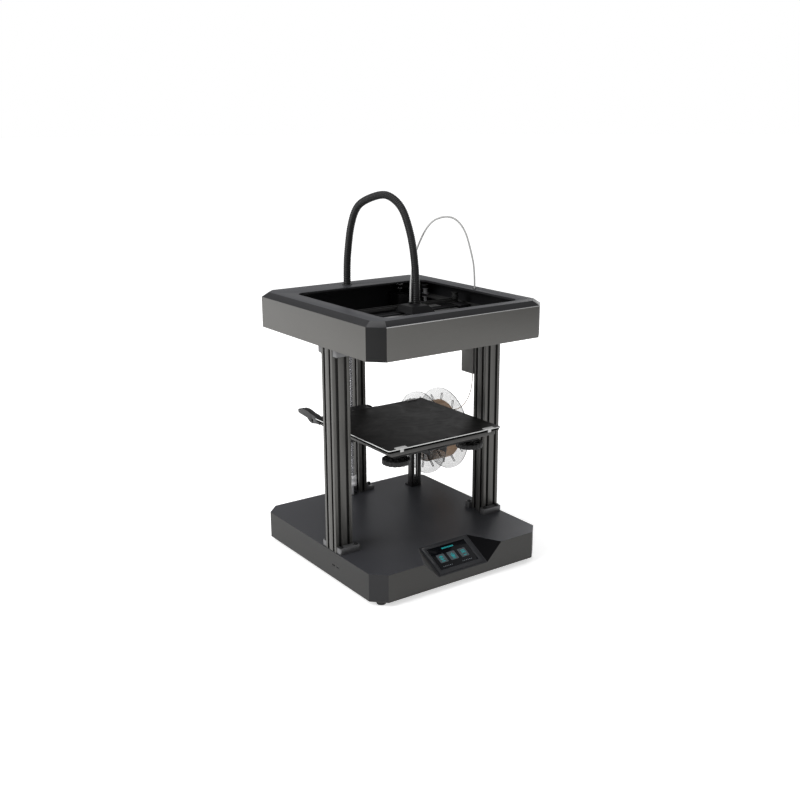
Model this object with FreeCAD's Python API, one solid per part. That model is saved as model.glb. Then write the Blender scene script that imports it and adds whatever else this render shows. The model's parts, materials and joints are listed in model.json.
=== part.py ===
import FreeCAD, Part
import os
import math

# Desktop FDM printer with a CoreXY gantry in a raised top frame, a lifting bed on a
# rear screw, and a spool on a side bracket. Millimetres, +Z up, floor at z = 0.
# Shapes are built about the machine's centre line and shifted once at export so that
# the origin is the bottom centre of the bounding box without the free cords.

os.makedirs("parts", exist_ok=True)
V = FreeCAD.Vector

# ---------------------------------------------------------------- driving dimensions
FOOT_H = 10.0            # rubber feet
FOOT_R = 11.0
BASE_W = 430.0           # base pan, along X
BASE_D = 460.0           # base pan, along Y
BASE_T = FOOT_H + 59.0   # top face of the base
SHEET = 2.0              # steel sheet of the covers
CHAM = 28.0              # corner chamfers of base and top frame
TOP_Z0 = FOOT_H + 485.3  # top frame, lower edge
TOP_Z1 = FOOT_H + 550.5  # top frame, where the bevel starts
TOP_Z2 = FOOT_H + 560.0  # top frame, upper face
BEVEL = 13.75
OPEN_X = 165.0           # opening in the top frame, half width
OPEN_Y0 = -195.0         # opening, front edge
OPEN_Y1 = 145.0          # opening, rear edge

COL = 40.0               # side columns, square extrusion
COL_X = 214.0            # outer face of the side columns
COL_Y0 = -80.0           # front face of the side columns
POST_W = 20.0            # rear posts, along X
POST_D = 40.0            # rear posts, along Y
POST_X = 18.0            # inner face of the rear posts
POST_Y0 = 189.5          # front face of the rear posts

SCREW_Y = 193.0          # lead screw axis
SCREW_R = 4.0
BED_TOP = FOOT_H + 289.0 # print surface at rest
BED_X = 143.5
BED_Y0 = -170.0
BED_Y1 = 114.0
KNOB_X = 95.0
KNOB_YF = -125.0
KNOB_YR = 70.0
KNOB_R = 29.0
KNOB_Z0 = FOOT_H + 243.0
KNOB_Z1 = FOOT_H + 255.0
WHEEL_R = 12.0

BEAM_Y0 = 4.0            # gantry beam, front face
BEAM_Y1 = 24.0
BEAM_Z0 = FOOT_H + 500.0
BEAM_Z1 = FOOT_H + 520.0
HEAD_X = 38.0            # head centre at rest
HOOD_TOP = FOOT_H + 536.0
HOSE_D = 17.0
PTFE_D = 4.0
FIL_D = 1.75

SPOOL_X0 = 179.2
SPOOL_X1 = 246.0
SPOOL_Y = 164.0
SPOOL_Z = FOOT_H + 185.0
SPOOL_R = 100.0
ARM_END = 252.0
ARM_R = 12.0
HUB_R = 26.0             # bore of the reel, which hangs on the arm
ARM_Z = SPOOL_Z + HUB_R - ARM_R - 0.15

ORIGIN_X = (-BASE_W / 2 + ARM_END) / 2
ORIGIN_Y = (-BASE_D / 2 + SPOOL_Y + SPOOL_R) / 2


# ---------------------------------------------------------------- helpers
def box(x0, x1, y0, y1, z0, z1):
    return Part.makeBox(x1 - x0, y1 - y0, z1 - z0, V(x0, y0, z0))


def cz(x, y, z0, z1, r):
    return Part.makeCylinder(r, z1 - z0, V(x, y, z0), V(0, 0, 1))


def cx(y, z, x0, x1, r):
    return Part.makeCylinder(r, x1 - x0, V(x0, y, z), V(1, 0, 0))


def cy(x, z, y0, y1, r):
    return Part.makeCylinder(r, y1 - y0, V(x, y0, z), V(0, 1, 0))


def prism_z(pts, z0, z1):
    w = Part.makePolygon([V(x, y, z0) for x, y in pts] + [V(pts[0][0], pts[0][1], z0)])
    return Part.Face(w).extrude(V(0, 0, z1 - z0))


def prism_x(pts, x0, x1):
    w = Part.makePolygon([V(x0, y, z) for y, z in pts] + [V(x0, pts[0][0], pts[0][1])])
    return Part.Face(w).extrude(V(x1 - x0, 0, 0))


def prism_y(pts, y0, y1):
    w = Part.makePolygon([V(x, y0, z) for x, z in pts] + [V(pts[0][0], y0, pts[0][1])])
    return Part.Face(w).extrude(V(0, y1 - y0, 0))


def fuse(*s):
    out = s[0]
    if len(s) > 1:
        out = s[0].fuse(list(s[1:]))
    return out.removeSplitter()


def cut(a, *b):
    return a.cut(list(b))


def octagon(hx, hy, c):
    return [(-hx + c, -hy), (hx - c, -hy), (hx, -hy + c), (hx, hy - c),
            (hx - c, hy), (-hx + c, hy), (-hx, hy - c), (-hx, -hy + c)]


def inset(hx, hy, c, d):
    """The octagon moved in by d on every side."""
    return octagon(hx - d, hy - d, c - d * (2 - math.sqrt(2)))


def loft(p0, z0, p1, z1):
    w0 = Part.makePolygon([V(x, y, z0) for x, y in p0] + [V(p0[0][0], p0[0][1], z0)])
    w1 = Part.makePolygon([V(x, y, z1) for x, y in p1] + [V(p1[0][0], p1[0][1], z1)])
    return Part.makeLoft([w0, w1], True, True)


def rounded_rect(x0, x1, y0, y1, r, z0, z1):
    b = box(x0, x1, y0, y1, z0, z1)
    edges = [e for e in b.Edges if abs(e.tangentAt(e.FirstParameter).z) > 0.99]
    return b.makeFillet(r, edges)


NODES = {}


def node(name, *solids):
    NODES[name] = solids


# ---------------------------------------------------------------- base
hx, hy = BASE_W / 2, BASE_D / 2
SLOPE_Y = -158.0                  # console: where the slope leaves the top face
SLOPE_Z = FOOT_H + 21.7           # console: where the slope meets the front face
SCR_X = 63.0                      # console half width
WEDGE_X = 100.0                   # console: outer end of the side facets

base_outer = prism_z(octagon(hx, hy, CHAM), FOOT_H + SHEET, BASE_T)
base_inner = prism_z(inset(hx, hy, CHAM, SHEET), FOOT_H + SHEET - 1, BASE_T - SHEET)
e = 3.0


def console_solid(d):
    """Solid in front of and above the console's three facets, each moved into the base by d."""
    t0, b0 = V(SCR_X, SLOPE_Y, BASE_T), V(SCR_X, -hy, SLOPE_Z)
    w0 = V(WEDGE_X, -hy, BASE_T)
    ns = V(0, SLOPE_Z - BASE_T, hy + SLOPE_Y).normalize()
    nr = (w0 - t0).cross(b0 - t0).normalize()
    if nr.x > 0:
        nr = nr * -1.0
    zt, yf = BASE_T + 3.0, -hy - 3.0

    def meet(y=None, z=None, facets=2):
        """Point on the right facet, and on the slope when facets is 2, at the given y or z."""
        kr, ks = nr.dot(t0) - d, ns.dot(t0) - d
        if facets == 1:
            return V((kr - nr.y * y - nr.z * z) / nr.x, y, z)
        if y is None:
            y = (ks - ns.z * z) / ns.y
        else:
            z = (ks - ns.y * y) / ns.z
        return V((kr - nr.y * y - nr.z * z) / nr.x, y, z)
    tr, br, wr = meet(z=zt), meet(y=yf), meet(y=yf, z=zt, facets=1)
    tl, bl, wl = (V(-p.x, p.y, p.z) for p in (tr, br, wr))

    def face(*p):
        return Part.Face(Part.makePolygon(list(p) + [p[0]]))
    shell = Part.Shell([face(tl, tr, br, bl), face(tr, wr, br), face(tl, bl, wl),
                        face(tl, wl, wr, tr), face(wl, bl, br, wr)])
    s = Part.Solid(shell)
    if s.Volume < 0:
        s.reverse()
    return s


notch = console_solid(0.0)
slope_len = math.hypot(-hy - SLOPE_Y, SLOPE_Z - BASE_T)
ny, nz = (SLOPE_Z - BASE_T) / slope_len, -(-hy - SLOPE_Y) / slope_len
sn = V(0, ny, nz)                 # outward normal of the slope


def slope_plate(x0, x1, s0, s1, d0, d1):
    """Plate on the slope: s is the distance down from its top edge, d the height over it."""
    t = V(0, (-hy - SLOPE_Y) / slope_len, (SLOPE_Z - BASE_T) / slope_len)
    o = V(0, SLOPE_Y, BASE_T)

    def p(x, s, d):
        return o + t * s + sn * d + V(x, 0, 0)
    w = Part.makePolygon([p(x0, s0, d0), p(x1, s0, d0), p(x1, s1, d0), p(x0, s1, d0), p(x0, s0, d0)])
    return Part.Face(w).extrude(sn * (d1 - d0))


base = base_outer.cut(base_inner.cut(console_solid(SHEET))).cut(notch)
screen_hole = slope_plate(-49.5, 49.5, 9.0, 68.0, -6.0, 6.0)
base = cut(base, screen_hole)
# holes: lead-screw shaft, card slots on the left side, inlet and switch at the rear
PORT_Y = -77.0
base = cut(base, cz(0, SCREW_Y, BASE_T - 4, BASE_T + 4, 12.5),
           box(-hx - 1, -hx + 4, PORT_Y - 14, PORT_Y - 4, FOOT_H + 27.5, FOOT_H + 31.0),
           box(-hx - 1, -hx + 4, PORT_Y + 2, PORT_Y + 12, FOOT_H + 27.0, FOOT_H + 31.5),
           box(-150, -122, hy - 4, hy + 1, FOOT_H + 16, FOOT_H + 36),
           box(-112, -98, hy - 4, hy + 1, FOOT_H + 16, FOOT_H + 36))
node("base_cover", base)

plate = prism_z(inset(hx, hy, CHAM, 0.0), FOOT_H, FOOT_H + SHEET)
for i in range(12):
    plate = cut(plate, box(-60 + i * 11, -55 + i * 11, 90, 150, FOOT_H - 1, FOOT_H + 3))
node("base_plate", plate)

feet = []
for sx in (-1, 1):
    for fy in (-205.0, 205.0):
        f = Part.makeCone(FOOT_R - 1.5, FOOT_R, FOOT_H, V(sx * 188.0, fy, 0), V(0, 0, 1))
        feet.append(f)
node("feet", *feet)

bez = cut(slope_plate(-58.0, 58.0, 3.5, 77.0, 0.0, 1.6), slope_plate(-49.0, 49.0, 9.5, 67.5, -1, 3))
node("screen_bezel", bez)
node("touch_screen", slope_plate(-48.8, 48.8, 9.7, 67.3, -5.0, 0.9))

# electronics in the base
board = box(-60, 45, -120, -20, FOOT_H + 8, FOOT_H + 9.6)
chips = [box(-40 + i * 22, -28 + i * 22, -60, -48, FOOT_H + 9.6, FOOT_H + 18) for i in range(4)]
socket = box(-58, -46, -115, -30, FOOT_H + 9.6, FOOT_H + 20)
legs = [cz(x, y, FOOT_H + SHEET, FOOT_H + 8, 3) for x in (-55, 40) for y in (-115, -25)]
node("mainboard", fuse(board, socket, *(chips + legs)))
psu = cut(box(70, 184, -60, 155, FOOT_H + SHEET, FOOT_H + 34), box(72, 182, -58, 60, FOOT_H + SHEET + 2, FOOT_H + 32),
          box(72, 182, 62, 153, FOOT_H + SHEET + 2, FOOT_H + 32),
          *[box(80 + i * 10, 85 + i * 10, 30, 90, FOOT_H + 30, FOOT_H + 35) for i in range(9)])
node("power_supply", psu)

zm = fuse(box(-21, 21, SCREW_Y - 21, SCREW_Y + 21, FOOT_H + 16, FOOT_H + 54),
          cz(0, SCREW_Y, FOOT_H + 54, FOOT_H + 57, 11))
zm = cut(zm, cz(0, SCREW_Y, FOOT_H + 40, FOOT_H + 58, 2.6))
node("z_motor", zm)

inlet = fuse(box(-149.5, -122.5, hy - 24, hy + 0.5, FOOT_H + 16.5, FOOT_H + 35.5),
             box(-153, -119, hy, hy + 2.0, FOOT_H + 13, FOOT_H + 39))
inlet = cut(inlet, box(-147, -125, hy - 16, hy + 3, FOOT_H + 19, FOOT_H + 33))
inlet = fuse(inlet, *[box(-137 + dx, -135 + dx, hy - 18, hy - 8, FOOT_H + 24 + dz, FOOT_H + 28 + dz)
                      for dx, dz in ((-7, -2), (0, 2), (7, -2))])
switch_frame = cut(box(-115, -95, hy, hy + 2.0, FOOT_H + 13, FOOT_H + 39),
                   box(-111, -99, hy - 1, hy + 3, FOOT_H + 17, FOOT_H + 35))
card = cut(box(-hx + 0.3, -hx + 20, PORT_Y - 13.6, PORT_Y - 4.4, FOOT_H + 27.8, FOOT_H + 30.7),
           box(-hx, -hx + 17, PORT_Y - 12.6, PORT_Y - 5.4, FOOT_H + 28.6, FOOT_H + 29.9))
usb = cut(box(-hx + 0.3, -hx + 16, PORT_Y + 2.4, PORT_Y + 11.6, FOOT_H + 27.3, FOOT_H + 31.2),
          box(-hx, -hx + 12, PORT_Y + 3.2, PORT_Y + 10.8, FOOT_H + 28.1, FOOT_H + 30.4))
node("ports", inlet, switch_frame, card, usb)
rock = prism_x([(hy - 7, FOOT_H + 18), (hy + 3.2, FOOT_H + 18), (hy + 1.2, FOOT_H + 26),
                (hy + 1.4, FOOT_H + 34), (hy - 7, FOOT_H + 34)], -110, -100)
node("power_switch", rock)


# ---------------------------------------------------------------- columns
def extrusion_40(x0, y0, z0, z1):
    """Square extrusion with two slots on each face."""
    s = box(x0, x0 + COL, y0, y0 + COL, z0, z1)
    cuts = []
    for a in (10.0, 30.0):
        for w, d0, d1 in ((3.1, -1, 2.2), (4.2, 2.2, 4.6)):
            cuts += [box(x0 + a - w, x0 + a + w, y0 + d0, y0 + d1, z0 - 1, z1 + 1),
                     box(x0 + a - w, x0 + a + w, y0 + COL - d1, y0 + COL - d0, z0 - 1, z1 + 1),
                     box(x0 + d0, x0 + d1, y0 + a - w, y0 + a + w, z0 - 1, z1 + 1),
                     box(x0 + COL - d1, x0 + COL - d0, y0 + a - w, y0 + a + w, z0 - 1, z1 + 1)]
    cuts += [cz(x0 + COL / 2, y0 + COL / 2, z0 - 1, z1 + 1, 6.0)]
    return s.cut(cuts)


def extrusion_20(x0, y0, z0, z1):
    """20 x 40 extrusion: one slot on the narrow faces, two on the wide ones."""
    s = box(x0, x0 + POST_W, y0, y0 + POST_D, z0, z1)
    cuts = []
    for w, d0, d1 in ((3.0, -1, 2.0), (4.6, 2.0, 4.8)):
        cuts += [box(x0 + 10 - w, x0 + 10 + w, y0 + d0, y0 + d1, z0 - 1, z1 + 1),
                 box(x0 + 10 - w, x0 + 10 + w, y0 + POST_D - d1, y0 + POST_D - d0, z0 - 1, z1 + 1)]
        for a in (10.0, 30.0):
            cuts += [box(x0 + d0, x0 + d1, y0 + a - w, y0 + a + w, z0 - 1, z1 + 1),
                     box(x0 + POST_W - d1, x0 + POST_W - d0, y0 + a - w, y0 + a + w, z0 - 1, z1 + 1)]
    cuts += [cz(x0 + 10, y0 + a, z0 - 1, z1 + 1, 2.1) for a in (10, 30)]
    return s.cut(cuts)


node("column_left", extrusion_40(-COL_X, COL_Y0, BASE_T, TOP_Z0))
node("column_right", extrusion_40(COL_X - COL, COL_Y0, BASE_T, TOP_Z0))
node("rear_post_left", extrusion_20(-POST_X - POST_W, POST_Y0, BASE_T, TOP_Z0))
node("rear_post_right", extrusion_20(POST_X, POST_Y0, BASE_T, TOP_Z0))

# foot and head brackets with their cap screws
BR_H = 12.0
brackets = []


def screw_z(x, y, z, up=1):
    s = cz(x, y, z, z + 5.0, 4.2)
    s = cut(s, cz(x, y, z + 2.2, z + 6, 2.0))
    if up < 0:
        s = s.mirror(V(0, 0, z), V(0, 0, 1))
    return s


for sx in (-1, 1):
    for y0, y1 in ((COL_Y0 - 15.0, COL_Y0), (COL_Y0 + COL, COL_Y0 + COL + 15.0)):
        # block as wide as the column and a little over it on the inner side
        xo, xi = sx * (COL_X - 1.0), sx * (COL_X - COL - 9.0)
        xa, xb = min(xo, xi), max(xo, xi)
        foot = box(xa, xb, y0, y1, BASE_T, BASE_T + 13.0)
        edges = [g for g in foot.Edges if abs(g.tangentAt(g.FirstParameter).z) > 0.99
                 and abs(g.CenterOfMass.y - (y0 if y0 < COL_Y0 else y1)) < 0.1]
        foot = foot.makeFillet(3.0, edges)
        wells = [cz(u, (y0 + y1) / 2, BASE_T + 9.5, BASE_T + 14, 4.6) for u in (xa + 6.5, xb - 6.5)]
        foot = cut(foot, *wells)
        with_head = not (sx > 0 and y0 > COL_Y0)   # the extruder hangs there instead
        head = foot.mirror(V(0, 0, (BASE_T + TOP_Z0) / 2), V(0, 0, 1))
        brackets += [foot, head] if with_head else [foot]
        for u in (xa + 6.5, xb - 6.5):
            s = cut(cz(u, (y0 + y1) / 2, BASE_T + 9.5, BASE_T + 15.5, 4.2), cz(u, (y0 + y1) / 2, BASE_T + 12.5, BASE_T + 16, 2.0))
            brackets.append(s)
            if with_head:
                brackets.append(s.mirror(V(0, 0, (BASE_T + TOP_Z0) / 2), V(0, 0, 1)))
    xa = sx * (POST_X + POST_W)
    xb = sx * (POST_X + POST_W + 22)
    ya, yb = POST_Y0 - 6.0, POST_Y0 + 14.0
    p = [(xa, BASE_T), (xb, BASE_T), (xb, BASE_T + 8), (xa + sx * 7, BASE_T + 9),
         (xa + sx * 4, BASE_T + 18), (xa, BASE_T + 18)]
    foot = prism_y(p, ya + 8, yb + 16)
    s = cut(cz(xb - sx * 7.5, yb, BASE_T + 8.8, BASE_T + 14.6, 4.2), cz(xb - sx * 7.5, yb, BASE_T + 12, BASE_T + 16, 2.0))
    brackets += [foot, s]
node("column_brackets", *brackets)

# ---------------------------------------------------------------- top frame
opening = rounded_rect(-OPEN_X, OPEN_X, OPEN_Y0, OPEN_Y1, 20.0, TOP_Z0 - 5, TOP_Z2 + 5)
outer = fuse(prism_z(octagon(hx, hy, CHAM), TOP_Z0, TOP_Z1),
             loft(octagon(hx, hy, CHAM), TOP_Z1, inset(hx, hy, CHAM, BEVEL), TOP_Z2))
inner = fuse(prism_z(inset(hx, hy, CHAM, SHEET), TOP_Z0 - 1, TOP_Z1 - 1.2),
             loft(inset(hx, hy, CHAM, SHEET), TOP_Z1 - 1.2, inset(hx, hy, CHAM, BEVEL + 1.6), TOP_Z2 - SHEET))
lip = rounded_rect(-OPEN_X - 2.0, OPEN_X + 2.0, OPEN_Y0 - 2.0, OPEN_Y1 + 2.0, 22.0, TOP_Z2 - 4.5, TOP_Z2 - 1.0)
cover = cut(fuse(cut(outer, inner), lip), opening)
HOSE_X, HOSE_Y = -13.0, 180.0
PTFE_X, PTFE_Y = 178.0, -33.0
cover = cut(cover, cz(HOSE_X, HOSE_Y, TOP_Z2 - 6, TOP_Z2 + 3, 10.5), cz(PTFE_X, PTFE_Y, TOP_Z2 - 6, TOP_Z2 + 3, 3.5))
node("top_cover", cover)

tray = prism_z(inset(hx, hy, CHAM, SHEET + 0.3), TOP_Z0, TOP_Z0 + SHEET)
tray = cut(tray, rounded_rect(-OPEN_X, OPEN_X, OPEN_Y0, OPEN_Y1, 20.0, TOP_Z0 - 5, TOP_Z0 + 5),
           cz(0, SCREW_Y, TOP_Z0 - 2, TOP_Z0 + 4, 5.0))
node("top_tray", tray)

RAIL_X = 176.0
rail_parts = []
for sx in (-1, 1):
    xa, xb = sorted((sx * (RAIL_X - 6), sx * (RAIL_X + 6)))
    rail = box(xa, xb, -188, 172, FOOT_H + 497.5, FOOT_H + 505)
    for gx in (xa, xb):
        rail = cut(rail, cy(gx, FOOT_H + 502.0, -190, 175, 1.4))
    beam = box(sx * RAIL_X - 8, sx * RAIL_X + 8, -192, 176, TOP_Z0 + SHEET, FOOT_H + 497.5)
    rail_parts += [beam, rail]
node("y_rails", *rail_parts)

MOT = (150.0, 208.0)
IDL_R = (194.0, 168.0)
IDL_F = (194.0, -196.0)
motors, pulleys, belts = [], [], []
for sx in (-1, 1):
    mx = sx * MOT[0]
    m = box(mx - 20, mx + 20, MOT[1] - 20, MOT[1] + 19.5, TOP_Z0 + SHEET + 0.2, FOOT_H + 522)
    m = fuse(m, cz(mx, MOT[1], FOOT_H + 522, FOOT_H + 524, 11), cz(mx, MOT[1], FOOT_H + 524, FOOT_H + 550, 2.5))
    motors.append(m)


def belt_loop(a, b, r, z0, z1, t=1.4):
    """Belt round two pulleys of radius r at a and b."""
    dx, dy = b[0] - a[0], b[1] - a[1]
    L = math.hypot(dx, dy)
    ux, uy = dx / L, dy / L

    def stadium(rr, za, zb):
        body = prism_z([(a[0] - uy * rr, a[1] + ux * rr), (a[0] + uy * rr, a[1] - ux * rr),
                        (b[0] + uy * rr, b[1] - ux * rr), (b[0] - uy * rr, b[1] + ux * rr)], za, zb)
        return fuse(body, cz(a[0], a[1], za, zb, rr), cz(b[0], b[1], za, zb, rr))
    return cut(stadium(r + t, z0, z1), stadium(r, z0 - 1, z1 + 1))


for sx in (-1, 1):
    mx = sx * MOT[0]
    rx, ry = sx * IDL_R[0], IDL_R[1]
    fx, fy = sx * IDL_F[0], IDL_F[1]
    zl, zh = FOOT_H + 515.0, FOOT_H + 534.0
    # motor pulley
    p = fuse(cz(mx, MOT[1], zh - 1, zh, 8.0), cz(mx, MOT[1], zh, zh + 7.0, 6.3),
             cz(mx, MOT[1], zh + 7.0, zh + 15.0, 8.0))
    pulleys.append(cut(p, cz(mx, MOT[1], zh - 2, zh + 16, 2.52)))
    # rear stack of two idlers, and the single front idler, each on its bolt
    st = fuse(cz(rx, ry, zl - 1, zl, 8.0), cz(rx, ry, zl, zl + 7, 6.3), cz(rx, ry, zl + 7, zl + 8.2, 8.0),
              cz(rx, ry, zl + 8.2, zh - 1, 5.0), cz(rx, ry, zh - 1, zh, 8.0), cz(rx, ry, zh, zh + 7, 6.3),
              cz(rx, ry, zh + 7, zh + 8.2, 8.0), cz(rx, ry, TOP_Z0 + SHEET, zl - 1, 4.0))
    fr = fuse(cz(fx, fy, zl - 1, zl, 8.0), cz(fx, fy, zl, zl + 7, 6.3), cz(fx, fy, zl + 7, zl + 8.2, 8.0),
              cz(fx, fy, TOP_Z0 + SHEET, zl - 1, 4.0))
    pulleys += [st, fr]
    belts.append(belt_loop((rx, ry), (fx, fy), 6.35, zl + 0.5, zl + 6.5))
    belts.append(belt_loop((mx, MOT[1]), (rx, ry), 6.35, zh + 0.5, zh + 6.5))
node("xy_motors", *motors)
node("belt_pulleys", *pulleys)
node("y_belts", *belts)

# glands where the hose and the guide tube leave the top frame
gl = fuse(cz(HOSE_X, HOSE_Y, TOP_Z2 - 5, TOP_Z2 + 0.0, 10.4), cz(HOSE_X, HOSE_Y, TOP_Z2, TOP_Z2 + 1.2, 11.2))
gl = cut(gl, cz(HOSE_X, HOSE_Y, TOP_Z2 - 6, TOP_Z2 + 4, HOSE_D / 2 + 0.05))
gl2 = fuse(cz(PTFE_X, PTFE_Y, TOP_Z2 - 4, TOP_Z2, 3.4), cz(PTFE_X, PTFE_Y, TOP_Z2, TOP_Z2 + 1.0, 4.2))
gl2 = cut(gl2, cz(PTFE_X, PTFE_Y, TOP_Z2 - 5, TOP_Z2 + 4, PTFE_D / 2 + 0.05))
node("cord_glands", gl, gl2)

# ---------------------------------------------------------------- extruder
EX0, EX1 = 172.0, 212.0
EY0, EY1 = -38.5, 2.0
EZ0 = FOOT_H + 372.0
shell = cut(box(EX0, EX1, EY0, EY1, EZ0, TOP_Z0), box(EX0 + 1.5, EX1 - 1.5, EY0 + 1.5, EY1 - 1.5, EZ0 + 1.5, TOP_Z0 + 1))
shell = cut(shell, cz(PTFE_X + 8, PTFE_Y + 12, EZ0 - 1, EZ0 + 3, 3.0))
node("extruder_cover", shell)
em = fuse(box(EX0 + 18, EX1 - 2, EY0 + 2.5, EY1 - 2.5, EZ0 + 60, TOP_Z0 - 6),
          cx(PTFE_Y + 12 + 8, EZ0 + 78, EX0 + 4, EX0 + 18, 2.5))
node("extruder_motor", em)
gear = cut(cx(PTFE_Y + 12 + 8, EZ0 + 78, EX0 + 5, EX0 + 16, 6.0), cx(PTFE_Y + 12 + 8, EZ0 + 78, EX0 + 4, EX0 + 17, 2.55))
node("extruder_gear", gear)

# ---------------------------------------------------------------- spool bracket, arm, reel
BX0, BX1, BY0, BY1 = 138.0, 166.0, 146.0, 161.0
B_TOP = SPOOL_Z + 34.0
sb = fuse(box(BX0, BX1, BY0, BY0 + 2.5, BASE_T, B_TOP), box(BX0, BX0 + 2.5, BY0, BY1, BASE_T, B_TOP),
          box(BX1 - 2.5, BX1, BY0, BY1, BASE_T, B_TOP), box(BX0, BX1, BY0, BY1 + 12, BASE_T, BASE_T + 3),
          box(BX0, BX1, BY0, BY1 + 14, B_TOP - 44, B_TOP))
for u in (148.8, 155.2):
    sb = cut(sb, box(u - 1.9, u + 1.9, BY0 - 1, BY0 + 4, BASE_T + 24, B_TOP - 52))
sb = cut(sb, cx(SPOOL_Y, ARM_Z, BX0 - 1, BX1 + 1, 5.0))
bs = [cut(cz(x, BY1 + 6, BASE_T + 3, BASE_T + 7, 3.6), cz(x, BY1 + 6, BASE_T + 5, BASE_T + 8, 1.6)) for x in (145, 159)]
bf = [cut(cy(x, BASE_T + 12, BY0 - 4, BY0, 3.4), cy(x, BASE_T + 12, BY0 - 5, BY0 - 2, 1.6)) for x in (145, 159)]
node("spool_bracket", sb, *(bs + bf))
arm = fuse(cx(SPOOL_Y, ARM_Z, BX1, ARM_END - 3, ARM_R), cx(SPOOL_Y, ARM_Z, ARM_END - 3, ARM_END, ARM_R + 5),
           cx(SPOOL_Y, ARM_Z, BX1, BX1 + 5, ARM_R + 6), cx(SPOOL_Y, ARM_Z, BX0 - 6, BX1, 4.95),
           cx(SPOOL_Y, ARM_Z, BX0 - 8, BX0, 9.0))
node("spool_arm", arm)


def flange(x0, x1):
    f = cx(SPOOL_Y, SPOOL_Z, x0, x1, SPOOL_R)
    cuts = [cx(SPOOL_Y, SPOOL_Z, x0 - 1, x1 + 1, HUB_R)]
    for i in range(6):
        for sg in (-1, 1):
            a0, a1 = math.radians(60 * i + 12 + sg * 5.0), math.radians(60 * i + 12 + sg * 15.0)
            p0 = (SPOOL_Y + 50 * math.cos(a0), SPOOL_Z + 50 * math.sin(a0))
            p1 = (SPOOL_Y + 86 * math.cos(a1), SPOOL_Z + 86 * math.sin(a1))
            L = math.hypot(p1[0] - p0[0], p1[1] - p0[1])
            nx, nz = -(p1[1] - p0[1]) / L * 1.9, (p1[0] - p0[0]) / L * 1.9
            cuts.append(prism_x([(p0[0] + nx, p0[1] + nz), (p0[0] - nx, p0[1] - nz), (p1[0] - nx, p1[1] - nz), (p1[0] + nx, p1[1] + nz)], x0 - 1, x1 + 1))
            cuts += [cx(p0[0], p0[1], x0 - 1, x1 + 1, 1.9), cx(p1[0], p1[1], x0 - 1, x1 + 1, 1.9)]
    return f.cut(cuts)


reel = fuse(flange(SPOOL_X0, SPOOL_X0 + 2.6), flange(SPOOL_X1 - 2.6, SPOOL_X1),
            cut(cx(SPOOL_Y, SPOOL_Z, SPOOL_X0, SPOOL_X1, 36.0), cx(SPOOL_Y, SPOOL_Z, SPOOL_X0 - 1, SPOOL_X1 + 1, HUB_R)))
node("spool_reel", reel)
WOUND_R = 72.0
node("wound_filament", cut(cx(SPOOL_Y, SPOOL_Z, SPOOL_X0 + 2.7, SPOOL_X1 - 2.7, WOUND_R),
                           cx(SPOOL_Y, SPOOL_Z, SPOOL_X0, SPOOL_X1, 36.05)))

# ---------------------------------------------------------------- lead screw
node("lead_screw", cz(0, SCREW_Y, FOOT_H + 93, TOP_Z0 + 4, SCREW_R))
coup = cut(cz(0, SCREW_Y, FOOT_H + 80, FOOT_H + 105, 9.5), cz(0, SCREW_Y, FOOT_H + 93, FOOT_H + 106, SCREW_R),
           cz(0, SCREW_Y, FOOT_H + 79, FOOT_H + 92, 2.5))
for dz in (0, 1, 2):
    ring = cut(cz(0, SCREW_Y, FOOT_H + 89.5 + dz * 2.2, FOOT_H + 90.3 + dz * 2.2, 10.5),
               cz(0, SCREW_Y, FOOT_H + 89 + dz * 2.2, FOOT_H + 91 + dz * 2.2, 8.0))
    coup = cut(coup, ring)
node("shaft_coupler", coup, cz(0, SCREW_Y, FOOT_H + 57.2, FOOT_H + 92, 2.5))

# ---------------------------------------------------------------- bed
zt = BED_TOP
node("print_plate", rounded_rect(-BED_X, BED_X, BED_Y0, BED_Y1, 4.0, zt - 4, zt))
node("heated_bed", rounded_rect(-BED_X + 2, BED_X - 2, BED_Y0 + 2, BED_Y1 - 2, 3.0, zt - 7, zt - 4))
ins = rounded_rect(-133.5, 133.5, -165, 109, 3.0, zt - 16, zt - 7)
ins = cut(ins, *[cz(sx * KNOB_X, y, zt - 17, zt - 6, 2.1) for sx in (-1, 1) for y in (KNOB_YF, KNOB_YR)])
node("bed_tray", ins)

clips = []
for x in (-112.0, 112.0):
    c = fuse(box(x - 13, x + 13, BED_Y0 - 1.2, BED_Y0 + 7.5, zt, zt + 1.4),
             box(x - 13, x + 13, BED_Y0 - 1.2, BED_Y0, zt - 1.0, zt + 1.4),
             box(x - 4, x + 4, BED_Y0 - 1.2, BED_Y0, zt - 7.0, zt + 1.4))
    c = fuse(c, cx(BED_Y0 + 7.5, zt + 0.95, x - 13, x + 13, 0.9))
    clips.append(c)
    c2 = c.mirror(V(0, (BED_Y0 + BED_Y1) / 2, 0), V(0, 1, 0))
    clips.append(c2)
node("bed_clips", *clips)

FZ1 = zt - 28.0           # support frame, upper face
FZ0 = FZ1 - 3.0
frame = fuse(box(-22, 22, -140, 176, FZ0, FZ1),
             box(-108, 108, KNOB_YF - 12, KNOB_YF + 12, FZ0, FZ1),
             box(-108, 108, KNOB_YR - 12, KNOB_YR + 12, FZ0, FZ1),
             prism_x([(176, FZ0), (176, FZ0 - 52), (168, FZ0 - 52), (20, FZ0 - 10), (-140, FZ0 - 10), (-140, FZ0)], -22, -19.5),
             prism_x([(176, FZ0), (176, FZ0 - 52), (168, FZ0 - 52), (20, FZ0 - 10), (-140, FZ0 - 10), (-140, FZ0)], 19.5, 22))
frame = cut(frame, *[cz(sx * KNOB_X, y, FZ0 - 1, FZ1 + 1, 2.1) for sx in (-1, 1) for y in (KNOB_YF, KNOB_YR)])
top_arm = box(-22, 22, 109.2, 176, zt - 14, zt - 11)
web = box(-22, 22, 172.5, 176, FZ1, zt - 14)
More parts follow.
